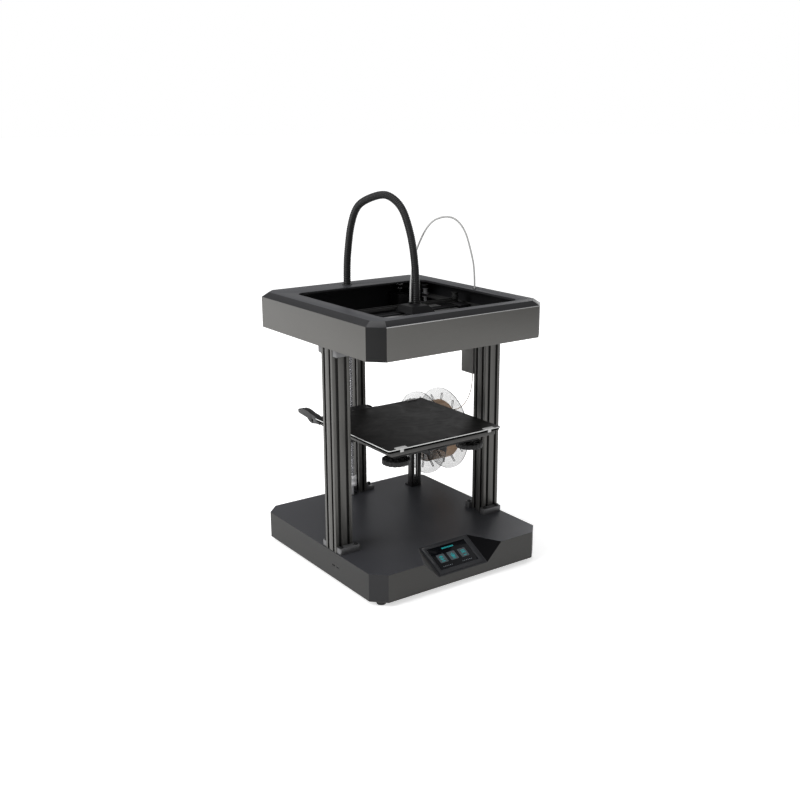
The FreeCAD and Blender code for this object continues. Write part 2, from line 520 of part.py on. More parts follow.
frame = fuse(frame, top_arm, web)

springs = []
for sx in (-1, 1):
    for y in (KNOB_YF, KNOB_YR):
        springs.append(cut(cz(sx * KNOB_X, y, FZ1, zt - 16, 5.0), cz(sx * KNOB_X, y, FZ1 - 1, zt - 15, 3.6)))
screws = list(springs)
for sx in (-1, 1):
    for y in (KNOB_YF, KNOB_YR):
        screws.append(cz(sx * KNOB_X, y, KNOB_Z0 - 3, zt - 7, 2.0))
node("levelling_screws", *screws)

WZ = (FZ0 - 44.0, zt - 34.0)
WX = POST_X + POST_W + WHEEL_R + 0.08
WY = POST_Y0 + 10.0
car = box(-62, 62, 176, 180, FZ0 - 58, zt - 22)
axles = [cy(sx * WX, z, 180, WY + 6, 2.5) for sx in (-1, 1) for z in WZ]
car = fuse(car, box(-13, 13, 180, SCREW_Y + 12, FZ0 - 12, FZ0 - 8), *axles)
car = cut(car, cz(0, SCREW_Y, FZ0 - 14, FZ0 - 6, 7.05))
node("z_carriage", car)
nut = fuse(cz(0, SCREW_Y, FZ0 - 26, FZ0 - 8, 5.1 + 1.9), cz(0, SCREW_Y, FZ0 - 8, FZ0 - 4.5, 11.0))
node("lead_nut", cut(nut, cz(0, SCREW_Y, FZ0 - 30, FZ0, SCREW_R + 0.08)))
for i, (sx, z) in enumerate([(s, z) for s in (-1, 1) for z in WZ]):
    w = cut(cy(sx * WX, z, WY - 5.1, WY + 5.1, WHEEL_R), cy(sx * WX, z, WY - 6, WY + 6, 2.55))
    w = w.cut([Part.makeTorus(8.6, 1.2, V(sx * WX, y, z), V(0, 1, 0)) for y in (WY - 5.1, WY + 5.1)])
    node("wheel_%s_%s" % ("left" if sx < 0 else "right", "lower" if z == WZ[0] else "upper"), w)

# cable arm behind the left rear corner of the bed
arm_pts = [(BED_Y1 - 4.6, zt - 16), (BED_Y1 - 4.6, zt - 8.2), (BED_Y1 + 1, zt - 8.2), (BED_Y1 + 2, zt - 3), (130, zt - 0.5), (147, zt + 1.0),
           (160, zt + 3.8), (173, zt + 5.0), (187, zt + 3.8), (192, zt - 0.6), (199, zt + 0.4), (203.5, zt - 3.0), (201, zt - 8.0), (195, zt - 9.6),
           (180, zt - 10.6), (163, zt - 12), (154, zt - 18), (142, zt - 20.5), (131, zt - 18), (118, zt - 16)]
cab = prism_x(arm_pts, -135, -122)
cab = cut(cab, cx(139, zt - 13, -136, -121, 3.4))
node("bed_frame", frame, cab)


def knob(x, y):
    """Large thumb wheel with a scalloped rim and spokes."""
    k = cz(x, y, KNOB_Z0, KNOB_Z1 - 2, KNOB_R)
    n = 18
    k = k.cut([cz(x + (KNOB_R + 1.6) * math.cos(2 * math.pi * i / n), y + (KNOB_R + 1.6) * math.sin(2 * math.pi * i / n),
                  KNOB_Z0 - 1, KNOB_Z1, 3.2) for i in range(n)])
    k = k.cut([cz(x + 17 * math.cos(math.radians(60 * i)), y + 17 * math.sin(math.radians(60 * i)),
                  KNOB_Z0 - 1, KNOB_Z1, 5.5) for i in range(6)])
    k = fuse(k, cz(x, y, KNOB_Z1 - 3, KNOB_Z1 + 0.6, 7.0))
    return cut(k, cz(x, y, KNOB_Z0 - 1, KNOB_Z1 + 2, 2.06))


node("knob_front_left", knob(-KNOB_X, KNOB_YF))
node("knob_front_right", knob(KNOB_X, KNOB_YF))
node("knob_rear_left", knob(-KNOB_X, KNOB_YR))
node("knob_rear_right", knob(KNOB_X, KNOB_YR))

# ---------------------------------------------------------------- gantry
beam = box(-162, 162, BEAM_Y0, BEAM_Y1, BEAM_Z0, BEAM_Z1)
for a, b in ((BEAM_Y0 - 1, BEAM_Y0 + 2), (BEAM_Y1 - 2, BEAM_Y1 + 1)):
    beam = cut(beam, box(-164, 164, a, b, BEAM_Z0 + 7, BEAM_Z1 - 7))
beam = cut(beam, box(-164, 164, BEAM_Y0 + 7, BEAM_Y1 - 7, BEAM_Z1 - 2, BEAM_Z1 + 1),
           box(-164, 164, BEAM_Y0 + 7, BEAM_Y1 - 7, BEAM_Z0 - 1, BEAM_Z0 + 2),
           cx((BEAM_Y0 + BEAM_Y1) / 2, (BEAM_Z0 + BEAM_Z1) / 2, -164, 164, 3.0))
node("x_beam", beam)
xr = box(-158, 158, BEAM_Y0 - 7.5, BEAM_Y0, BEAM_Z0 + 4, BEAM_Z1 - 4)
xr = cut(xr, cx(BEAM_Y0 - 3.5, BEAM_Z1 - 4, -160, 160, 1.3), cx(BEAM_Y0 - 3.5, BEAM_Z0 + 4, -160, 160, 1.3))
node("x_rail", xr)
blocks, gid = [], []
for sx in (-1, 1):
    xa, xb = sorted((sx * (RAIL_X - 13.5), sx * (RAIL_X + 10.5)))
    b = box(xa, xb, -18, 46, FOOT_H + 505.1, FOOT_H + 511)
    b = fuse(b, box(min(sx * (RAIL_X - 9.5), sx * (RAIL_X - 6.1)), max(sx * (RAIL_X - 9.5), sx * (RAIL_X - 6.1)), -8, 36, FOOT_H + 499, FOOT_H + 505.1),
             box(min(sx * (RAIL_X + 6.1), sx * (RAIL_X + 9.5)), max(sx * (RAIL_X + 6.1), sx * (RAIL_X + 9.5)), -8, 36, FOOT_H + 499, FOOT_H + 505.1))
    plate_g = box(min(sx * 158, sx * 185), max(sx * 158, sx * 185), -12, 42, BEAM_Z1 + 0.0, BEAM_Z1 + 3)
    post_g = box(min(sx * 164, sx * 178), max(sx * 164, sx * 178), 4, 24, FOOT_H + 511, BEAM_Z1)
    b = fuse(b, plate_g, post_g)
    blocks.append(b)
    for yy in (34.0,):
        gid.append(fuse(cz(sx * 177, yy, BEAM_Z1 + 3, BEAM_Z1 + 4, 8.0), cz(sx * 177, yy, BEAM_Z1 + 4, BEAM_Z1 + 11, 6.3),
                        cz(sx * 177, yy, BEAM_Z1 + 11, BEAM_Z1 + 12, 8.0), cz(sx * 177, yy, BEAM_Z1 + 12, BEAM_Z1 + 15, 5.0),
                        cz(sx * 177, yy, BEAM_Z1 + 15, BEAM_Z1 + 16, 8.0), cz(sx * 177, yy, BEAM_Z1 + 16, BEAM_Z1 + 23, 6.3),
                        cz(sx * 177, yy, BEAM_Z1 + 23, BEAM_Z1 + 24, 8.0)))
node("gantry_blocks", *blocks)
xb_ = [box(-177, 177, 40.35, 41.75, BEAM_Z1 + 4.5, BEAM_Z1 + 10.5)]
xb_.append(cut(box(-177, 177, 26.25, 27.65, BEAM_Z1 + 4.5, BEAM_Z1 + 10.5)))
node("x_belt", *(xb_ + gid))

# ---------------------------------------------------------------- print head
hx0, hx1 = HEAD_X - 30.0, HEAD_X + 30.0
HY0, HY1 = -38.0, 22.0
hz = HOOD_TOP
hood = Part.makeLoft([Part.makePolygon([V(a, b, z) for a, b in ((x0, y0), (x1, y0), (x1, y1), (x0, y1), (x0, y0))])
                      for x0, x1, y0, y1, z in ((hx0, hx1, HY0, HY1, hz - 13.0), (hx0 + 9, hx1 - 9, HY0 + 11, HY1 - 3, hz))], True, True)
hood = fuse(hood, box(hx0, hx1, HY0, -13.0, hz - 40, hz - 13.0))
hood = cut(hood, box(hx0 + 2, hx1 - 2, HY0 + 2, -12.0, hz - 42, hz - 13), box(hx0 + 8, hx1 - 8, HY0 + 10, HY1 - 8, hz - 14, hz - 3))
HHX, HHY = 52.5, 9.0
PHX, PHY = 39.5, 12.0
hood = cut(hood, cz(HHX, HHY, hz - 20, hz + 2, HOSE_D / 2 + 0.05), cz(PHX, PHY, hz - 20, hz + 2, 2.55))
node("head_hood", hood)
hc = fuse(box(HEAD_X - 22, HEAD_X + 22, -12.5, -8.0, BEAM_Z0 - 6, hz - 14.5),
          box(HEAD_X - 22, HEAD_X + 22, -8.0, BEAM_Y0 - 1.0, BEAM_Z1 - 3.9, BEAM_Z1 - 0.4),
          box(HEAD_X - 22, HEAD_X + 22, -8.0, BEAM_Y0 - 1.0, BEAM_Z0 + 0.4, BEAM_Z0 + 3.9))
NZ = FOOT_H + 480.0
NX, NY = HEAD_X, -24.0
hot = fuse(*([cz(NX, NY, hz - 42 + i * 2.6, hz - 40.6 + i * 2.6, 8.0) for i in range(8)]
             + [cz(NX, NY, NZ + 17, hz - 20, 3.4), box(NX - 8, NX + 12, NY - 8, NY + 8, NZ + 5, NZ + 17),
                Part.makeCone(1.0, 4.0, 5.0, V(NX, NY, NZ), V(0, 0, 1))]))
node("hotend", hot)
duct = cut(fuse(box(NX + 13.5, NX + 27, -34, -14, NZ + 6, hz - 40.2), box(NX - 27, NX - 10.5, -34, -14, NZ + 6, hz - 40.2)),
           box(NX + 15, NX + 25.5, -32.5, -15.5, NZ + 5, hz - 41.5), box(NX - 25.5, NX - 12, -32.5, -15.5, NZ + 5, hz - 41.5))
FZC = hz - 27.0
rotor = cy(HEAD_X, FZC, HY0 + 2.6, HY0 + 5.6, 6.0)
for i in range(7):
    a = 360.0 / 7 * i
    bl = box(-1.0, 1.0, HY0 + 2.8, HY0 + 5.4, 5.0, 11.5)
    bl.rotate(V(0, 0, 0), V(0, 1, 0), a)
    bl.translate(V(HEAD_X, 0, FZC))
    rotor = fuse(rotor, bl)
node("fan_rotor", rotor)
NODES["head_hood"] = (cut(NODES["head_hood"][0], *[
    cut(cy(HEAD_X, FZC, HY0 - 1, HY0 + 3, r1), cy(HEAD_X, FZC, HY0 - 2, HY0 + 4, r0),
        box(HEAD_X - 1, HEAD_X + 1, HY0 - 2, HY0 + 4, FZC - 14, FZC + 14),
        box(HEAD_X - 14, HEAD_X + 14, HY0 - 2, HY0 + 4, FZC - 1, FZC + 1)) for r0, r1 in ((3.0, 5.0), (6.4, 8.4), (9.8, 11.6))]), duct)
gh = cut(cz(HHX, HHY, hz - 2.5, hz + 1.5, 9.3), cz(HHX, HHY, hz - 4, hz + 3, HOSE_D / 2 + 0.06))
gh = cut(gh, Part.makeLoft([Part.makePolygon([V(a, b, z) for a, b in ((x0, y0), (x1, y0), (x1, y1), (x0, y1), (x0, y0))])
                            for x0, x1, y0, y1, z in ((hx0, hx1, HY0, HY1, hz - 13.0), (hx0 + 9, hx1 - 9, HY0 + 11, HY1 - 3, hz))], True, True))
gh2 = cut(cz(PHX, PHY, hz, hz + 4.0, 4.0), cz(PHX, PHY, hz - 1, hz + 5, 2.05))
node("head_carriage", hc, gh, gh2)


# ---------------------------------------------------------------- free cords
def tube(points, d, label):
    """Straight runs joined by tangent arcs, each arc as large as its runs allow."""
    P = [V(*p) for p in points]
    seg = [(P[i + 1] - P[i]).Length for i in range(len(P) - 1)]
    edges, radii = [], []
    last = P[0]
    for i in range(1, len(P) - 1):
        a = (P[i] - P[i - 1]).normalize()
        b = (P[i + 1] - P[i]).normalize()
        turn = a.getAngle(b)
        t = 0.45 * min(seg[i - 1], seg[i])
        r = t / math.tan(turn / 2)
        radii.append(r)
        p0 = P[i] - a * t
        p1 = P[i] + b * t
        bis = (b - a).normalize()
        mid = P[i] + bis * (r / math.cos(turn / 2) - r)
        edges.append(Part.LineSegment(last, p0).toShape())
        edges.append(Part.Arc(p0, mid, p1).toShape())
        last = p1
    edges.append(Part.LineSegment(last, P[-1]).toShape())
    w = Part.Wire(edges)
    d0 = (P[1] - P[0]).normalize()
    prof = Part.Wire([Part.makeCircle(d / 2, P[0], d0)])
    s = w.makePipeShell([prof], True, False)
    vol = math.pi * d * d / 4 * w.Length
    print(label, "length", round(w.Length, 1), "volume ratio", round(s.Volume / vol, 4), "radii", [round(r) for r in radii])
    return s


z2 = TOP_Z2
HOSE_REAR = [(-13.0, 180.0, z2 - 4.0), (-13.0, 180.0, z2 + 44.0), (-11.02, 174.82, z2 + 89.4), (-8.94, 169.41, z2 + 125.5),
             (-4.56, 157.97, z2 + 163.0), (2.32, 140.0, z2 + 184.1), (11.36, 116.41, z2 + 193.0)]
HOSE_FRONT = [(11.36, 116.41, z2 + 193.0), (20.4, 92.82, z2 + 201.9), (29.88, 68.06, z2 + 198.0), (40.18, 41.17, z2 + 176.0),
              (46.62, 24.37, z2 + 131.0), (49.99, 15.57, z2 + 90.0), (51.75, 10.97, z2 + 48.0), (52.5, 9.0, z2 + 9.0), (52.5, 9.0, hz - 2.0)]
PTFE_REAR = [(PTFE_X, PTFE_Y, z2 - 4.0), (PTFE_X, PTFE_Y, z2 + 40.0), (170.15, -28.53, z2 + 82.3), (157.81, -21.49, z2 + 130.3),
             (135.93, -6.05, z2 + 157.4), (116.11, 2.28, z2 + 154.1)]
PTFE_FRONT = [(116.11, 2.28, z2 + 154.1), (101.55, 8.4, z2 + 151.68), (87.2, 20.0, z2 + 132.1), (77.17, 30.0, z2 + 103.7),
              (63.79, 33.0, z2 + 70.9), (52.93, 27.0, z2 + 34.1), (39.5, 12.0, z2 + 6.0), (39.5, 12.0, hz + 1.0)]
FIL = [(PTFE_X + 8, PTFE_Y + 12, EZ0 + 0.2), (PTFE_X + 9, PTFE_Y + 14, EZ0 - 28), (191.0, -4.0, EZ0 - 60), (197.0, 24.0, EZ0 - 90),
       (204.0, 62.0, EZ0 - 112), (210.0, 107.0, EZ0 - 117.5), (212.6, 150.0, SPOOL_Z + WOUND_R + 1.2)]
node("hose_rear", tube(HOSE_REAR, HOSE_D, "hose_rear"))
node("hose_front", tube(HOSE_FRONT, HOSE_D, "hose_front"))
node("guide_tube_rear", tube(PTFE_REAR, PTFE_D, "guide_tube_rear"))
node("guide_tube_front", tube(PTFE_FRONT, PTFE_D, "guide_tube_front"))
node("filament_strand", tube(FIL, FIL_D, "filament_strand"))

# ---------------------------------------------------------------- export
CORDS = ("hose_rear", "hose_front", "guide_tube_rear", "guide_tube_front", "filament_strand")
bb = FreeCAD.BoundBox()
for f in os.listdir("parts"):
    if f.endswith(".step"):
        os.remove(os.path.join("parts", f))
for name, solids in NODES.items():
    flat = []
    for s in solids:
        flat += s.Solids
    bad = [s for s in flat if not s.isValid()]
    if bad or not flat:
        print("CHECK", name, "solids", len(flat), "invalid", len(bad))
    shape = Part.makeCompound(flat) if len(flat) > 1 else flat[0]
    shape = shape.copy()
    shape.translate(V(-ORIGIN_X, -ORIGIN_Y, 0))
    if name not in CORDS:
        bb.add(shape.BoundBox)
    shape.exportStep("parts/%s.step" % name)
print("nodes", len(NODES), "box", [round(v, 2) for v in (bb.XMin, bb.XMax, bb.YMin, bb.YMax, bb.ZMin, bb.ZMax)])
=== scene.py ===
import bpy, bmesh, json, math
from mathutils import Vector, Matrix


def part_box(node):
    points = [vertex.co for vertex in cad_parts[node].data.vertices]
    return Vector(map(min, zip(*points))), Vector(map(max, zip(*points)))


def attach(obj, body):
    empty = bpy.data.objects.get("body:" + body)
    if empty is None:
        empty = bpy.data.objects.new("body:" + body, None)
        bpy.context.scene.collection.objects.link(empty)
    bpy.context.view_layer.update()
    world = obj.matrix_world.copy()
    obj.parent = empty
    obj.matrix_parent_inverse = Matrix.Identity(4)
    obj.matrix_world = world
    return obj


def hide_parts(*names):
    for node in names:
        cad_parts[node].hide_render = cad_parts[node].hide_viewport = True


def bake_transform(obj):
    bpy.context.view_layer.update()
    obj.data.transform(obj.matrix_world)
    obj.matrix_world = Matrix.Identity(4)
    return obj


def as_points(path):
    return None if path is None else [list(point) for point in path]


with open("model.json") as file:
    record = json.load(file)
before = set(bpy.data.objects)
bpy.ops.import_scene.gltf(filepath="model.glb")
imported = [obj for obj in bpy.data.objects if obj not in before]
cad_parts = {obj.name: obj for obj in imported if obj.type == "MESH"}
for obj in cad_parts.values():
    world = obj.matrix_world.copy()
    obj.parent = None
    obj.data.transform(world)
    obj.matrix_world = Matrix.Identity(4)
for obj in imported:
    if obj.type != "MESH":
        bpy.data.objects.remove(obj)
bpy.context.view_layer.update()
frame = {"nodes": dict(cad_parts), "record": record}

NODES = frame["nodes"]
OX, OY = 18.5, 17.0          # machine centre line in the row frame, mm


def P(x, y, z):
    """Machine millimetres to row metres."""
    return Vector(((x - OX) / 1000.0, (y - OY) / 1000.0, z / 1000.0))


# ------------------------------------------------------------------ materials
def material(name, col, rough=0.45, metal=0.0, spec=0.5, var=0.14, vscale=9.0, grain=1400.0, bump=0.12,
             rvar=0.10, stretch=(1, 1, 1), coat=0.0, coat_rough=0.08, trans=0.0, ior=1.45, alpha=1.0,
             speck=0.0, speck_scale=1500.0, smudge=0.0, emit=None, sheen=0.0, bdist=0.0002):
    m = bpy.data.materials.new(name)
    m.use_nodes = True
    nt = m.node_tree
    N, L = nt.nodes, nt.links
    b = N["Principled BSDF"]
    tc = N.new("ShaderNodeTexCoord")
    mp = N.new("ShaderNodeMapping")
    mp.inputs["Scale"].default_value = stretch
    L.new(tc.outputs["Object"], mp.inputs["Vector"])
    broad = N.new("ShaderNodeTexNoise")
    broad.inputs["Scale"].default_value = vscale
    broad.inputs["Detail"].default_value = 5.0
    L.new(mp.outputs["Vector"], broad.inputs["Vector"])
    fine = N.new("ShaderNodeTexNoise")
    fine.inputs["Scale"].default_value = grain
    fine.inputs["Detail"].default_value = 2.0
    L.new(mp.outputs["Vector"], fine.inputs["Vector"])
    ramp = N.new("ShaderNodeValToRGB")
    lo = [max(0.0, c * (1 - var)) for c in col]
    hi = [min(1.0, c * (1 + var)) for c in col]
    ramp.color_ramp.elements[0].position = 0.3
    ramp.color_ramp.elements[0].color = (*lo, 1)
    ramp.color_ramp.elements[1].position = 0.7
    ramp.color_ramp.elements[1].color = (*hi, 1)
    L.new(broad.outputs["Fac"], ramp.inputs["Fac"])
    colour = ramp.outputs["Color"]
    grain_mix = N.new("ShaderNodeMix")
    grain_mix.data_type = "RGBA"
    grain_mix.blend_type = "OVERLAY"
    grain_mix.inputs[0].default_value = 0.18
    L.new(colour, grain_mix.inputs[6])
    L.new(fine.outputs["Color"], grain_mix.inputs[7])
    bw = N.new("ShaderNodeRGBToBW")
    L.new(fine.outputs["Color"], bw.inputs[0])
    L.new(bw.outputs[0], grain_mix.inputs[7])
    colour = grain_mix.outputs[2]
    if speck:
        vo = N.new("ShaderNodeTexVoronoi")
        vo.inputs["Scale"].default_value = speck_scale
        L.new(mp.outputs["Vector"], vo.inputs["Vector"])
        sr = N.new("ShaderNodeValToRGB")
        sr.color_ramp.elements[0].position = 0.0
        sr.color_ramp.elements[0].color = (speck, speck, speck, 1)
        sr.color_ramp.elements[1].position = 0.22
        sr.color_ramp.elements[1].color = (0, 0, 0, 1)
        L.new(vo.outputs["Distance"], sr.inputs["Fac"])
        add = N.new("ShaderNodeMix")
        add.data_type = "RGBA"
        add.blend_type = "ADD"
        add.inputs[0].default_value = 1.0
        L.new(colour, add.inputs[6])
        L.new(sr.outputs["Color"], add.inputs[7])
        colour = add.outputs[2]
    L.new(colour, b.inputs["Base Color"])
    mr = N.new("ShaderNodeMapRange")
    mr.inputs["To Min"].default_value = max(0.02, rough - rvar)
    mr.inputs["To Max"].default_value = min(1.0, rough + rvar)
    if smudge:
        sm = N.new("ShaderNodeTexNoise")
        sm.inputs["Scale"].default_value = 22.0
        sm.inputs["Detail"].default_value = 6.0
        sm.inputs["Distortion"].default_value = 1.2
        L.new(mp.outputs["Vector"], sm.inputs["Vector"])
        mr.inputs["From Min"].default_value = 0.35
        mr.inputs["From Max"].default_value = 0.75
        mr.inputs["To Max"].default_value = min(1.0, rough + smudge)
        L.new(sm.outputs["Fac"], mr.inputs["Value"])
    else:
        L.new(broad.outputs["Fac"], mr.inputs["Value"])
    L.new(mr.outputs["Result"], b.inputs["Roughness"])
    if bump:
        bu = N.new("ShaderNodeBump")
        bu.inputs["Strength"].default_value = bump
        bu.inputs["Distance"].default_value = bdist
        L.new(fine.outputs["Fac"], bu.inputs["Height"])
        L.new(bu.outputs["Normal"], b.inputs["Normal"])
    b.inputs["Metallic"].default_value = metal
    b.inputs["Specular IOR Level"].default_value = spec
    b.inputs["Coat Weight"].default_value = coat
    b.inputs["Coat Roughness"].default_value = coat_rough
    b.inputs["Transmission Weight"].default_value = trans
    b.inputs["IOR"].default_value = ior
    b.inputs["Alpha"].default_value = alpha
    b.inputs["Sheen Weight"].default_value = sheen
    if emit:
        b.inputs["Emission Color"].default_value = (*emit[0], 1)
        b.inputs["Emission Strength"].default_value = emit[1]
    return m


MAT = {
    "sheet_grey": material("sheet_grey", (0.098, 0.096, 0.091), rough=0.42, metal=0.45, spec=0.35, grain=2600, bump=0.10, var=0.06, vscale=3.0, rvar=0.05),
    # Near-black copy of the cover sheet: painted shade on the covers' inner walls and undersides, the base's corner
    # chamfers and the top cover's sloped band.
    "sheet_painted_shade": material("sheet_painted_shade", (0.016, 0.016, 0.0175), rough=0.40, metal=0.15, spec=0.35, grain=2600, bump=0.10, var=0.06, rvar=0.05),
    # Base paint: the sheet colour darkened below the top cover's, painted shade for the less-lit base.
    "sheet_base": material("sheet_base", (0.040, 0.0393, 0.0375), rough=0.42, metal=0.30, spec=0.30, grain=2600, bump=0.10, var=0.06, vscale=3.0, rvar=0.05),
    # Near-black copy of the sheet for the screen slope's side facet facing -x: painted shade.
    "facet_painted_shade": material("facet_painted_shade", (0.0035, 0.0035, 0.004), rough=0.75, spec=0.06, grain=2600, bump=0.10, var=0.1, rvar=0.05),
    # Darker copy of the base paint for the base's two end faces: painted shade.
    "base_ends_painted_shade": material("base_ends_painted_shade", (0.0165, 0.0162, 0.0155), rough=0.44, metal=0.20, spec=0.28, grain=2600, bump=0.10, var=0.06, vscale=3.0, rvar=0.05),
    # Near-black copy of the sheet for the top cover's corner chamfers: painted shade.
    "chamfer_painted_shade": material("chamfer_painted_shade", (0.0060, 0.0060, 0.0064), rough=0.46, spec=0.24, grain=2600, bump=0.10, var=0.06, rvar=0.05),
    "tray_dark": material("tray_dark", (0.058, 0.057, 0.055), rough=0.44, metal=0.3, spec=0.35, grain=2200, bump=0.12, var=0.08),
    "tray_floor": material("tray_floor", (0.022, 0.022, 0.023), rough=0.42, metal=0.2, spec=0.35, grain=2200, bump=0.12, var=0.08),
    # Near-white, mostly diffuse steel: pale steel with painted glints, bright even where little light reaches.
    "pale_steel_painted_glint": material("pale_steel_painted_glint", (0.88, 0.88, 0.89), rough=0.42, metal=0.35, grain=1600, bump=0.05, var=0.05),
    "bezel_grey": material("bezel_grey", (0.026, 0.027, 0.030), rough=0.36, spec=0.4, grain=2600, bump=0.08, var=0.08, rvar=0.05),
    "sheet_light": material("sheet_light", (0.11, 0.108, 0.103), rough=0.42, metal=0.4, grain=2600, bump=0.10, var=0.06, rvar=0.05),
    "deck": material("deck", (0.040, 0.041, 0.047), rough=0.36, metal=0.2, spec=0.5, grain=3000, bump=0.05, var=0.06, vscale=4.0, rvar=0.05),
    "extrusion": material("extrusion", (0.090, 0.0885, 0.084), rough=0.40, metal=0.5, spec=0.35, grain=700, bump=0.10, var=0.10, stretch=(1, 1, 0.03), rvar=0.08),
    # Darker copy of the extrusion for faces inside the slots: painted shade in the recesses.
    "slot_painted_shade": material("slot_painted_shade", (0.020, 0.020, 0.019), rough=0.5, metal=0.3, spec=0.3, grain=700, bump=0.08, stretch=(1, 1, 0.03)),
    "bracket_grey": material("bracket_grey", (0.13, 0.13, 0.133), rough=0.38, metal=0.5, spec=0.4, grain=2200, bump=0.12, var=0.07),
    "beam_black": material("beam_black", (0.025, 0.025, 0.027), rough=0.36, metal=0.7, grain=700, bump=0.10, stretch=(0.03, 1, 1)),
    "rubber": material("rubber", (0.018, 0.018, 0.018), rough=0.78, grain=1800, bump=0.3),
    "black_plastic": material("black_plastic", (0.009, 0.009, 0.0095), rough=0.48, spec=0.35, grain=2200, bump=0.22, var=0.2),
    "black_gloss": material("black_gloss", (0.010, 0.010, 0.011), rough=0.16, grain=1500, bump=0.02, coat=0.4),
    "black_paint": material("black_paint", (0.009, 0.009, 0.0095), rough=0.42, spec=0.35, grain=2400, bump=0.18, var=0.15),
    "screen_glass": material("screen_glass", (0.004, 0.0045, 0.006), rough=0.12, spec=0.3, grain=900, bump=0.0, smudge=0.08, var=0.3),
    "board": material("board", (0.015, 0.11, 0.045), rough=0.35, grain=1200, bump=0.2, speck=0.25, speck_scale=500),
    "supply": material("supply", (0.5, 0.5, 0.5), rough=0.4, metal=0.9, grain=900),
    "motor": material("motor", (0.030, 0.030, 0.031), rough=0.45, metal=0.5, grain=1600, bump=0.15, stretch=(1, 1, 8)),
    "chrome": material("chrome", (0.42, 0.42, 0.44), rough=0.26, metal=1.0, grain=1600, bump=0.04, var=0.06, stretch=(1, 1, 6), rvar=0.06),
    "pulley": material("pulley", (0.55, 0.55, 0.56), rough=0.26, metal=1.0, grain=1200, bump=0.08, var=0.08),
    "rail": material("rail", (0.50, 0.50, 0.50), rough=0.34, metal=0.9, grain=1200, bump=0.06, stretch=(1, 0.05, 1)),
    "belt": material("belt", (0.015, 0.015, 0.015), rough=0.7, grain=1600, bump=0.3),
    "bed_glass": material("bed_glass", (0.0060, 0.0057, 0.0056), rough=0.44, spec=0.11, grain=2400, bump=0.10, speck=0.012, speck_scale=900, smudge=0.08),
    # Light grey for the upper half of the glass's edge: a painted highlight.
    "glass_edge_painted_highlight": material("glass_edge_painted_highlight", (0.66, 0.67, 0.66), rough=0.25, grain=900, bump=0.03, var=0.05),
    # Near-opaque dark grey for the clear reel's rims, window edges and hub: painted shade for how clear plastic looks
    # edge-on.
    "clear_edge_painted_shade": material("clear_edge_painted_shade", (0.035, 0.036, 0.038), rough=0.2, grain=900, bump=0.03, alpha=0.95, spec=0.5, var=0.05),
    # Light grey for a narrow strip along the top cover's front fold: a painted highlight.
    "edge_painted_highlight": material("edge_painted_highlight", (0.48, 0.48, 0.48), rough=0.28, metal=0.4, spec=0.5, grain=1800, bump=0.04, var=0.06),
    "hood_black": material("hood_black", (0.0035, 0.0035, 0.004), rough=0.38, spec=0.18, grain=2200, bump=0.15, var=0.15),
    # Near-black for the heated bed and the lower half of the glass's edge: the heater's own black and painted shade in
    # the gap under the glass.
    "heater": material("heater", (0.004, 0.004, 0.004), rough=0.85, spec=0.04, grain=1000),
    "bed_grey": material("bed_grey", (0.17, 0.168, 0.162), rough=0.42, metal=0.5, grain=2200, bump=0.12, var=0.07),
    "white_clip": material("white_clip", (0.46, 0.46, 0.455), rough=0.3, grain=1400, bump=0.08, var=0.05),
    "spring": material("spring", (0.45, 0.45, 0.44), rough=0.3, metal=1.0, grain=1000),
    "brass": material("brass", (0.56, 0.39, 0.14), rough=0.3, metal=1.0, grain=1200, var=0.1),
    "clear": material("clear", (0.27, 0.28, 0.285), rough=0.16, grain=900, bump=0.03, alpha=0.32, spec=0.6, var=0.05, smudge=0.06),
    "filament": material("filament", (0.40, 0.262, 0.165), rough=0.34, grain=1500, bump=0.12, var=0.16, vscale=40, coat=0.2),
    "hose": material("hose", (0.007, 0.007, 0.0074), rough=0.40, spec=0.3, grain=2000, bump=0.12, var=0.25),
    "ptfe": material("ptfe", (0.40, 0.40, 0.395), rough=0.34, grain=1200, bump=0.03, var=0.04),
    "port": material("port", (0.03, 0.03, 0.03), rough=0.35, metal=0.4, grain=1600),
    "teal": material("teal", (0.006, 0.19, 0.20), rough=0.3, bump=0.0, var=0.45, vscale=260, emit=((0.005, 0.25, 0.26), 0.5)),
    "tile": material("tile", (0.042, 0.052, 0.058), rough=0.3, bump=0.0, var=0.35, vscale=220, emit=((0.035, 0.045, 0.050), 0.5)),
    "pale_mark": material("pale_mark", (0.20, 0.22, 0.24), rough=0.3, bump=0.0, var=0.3, emit=((0.16, 0.18, 0.2), 0.3)),
}

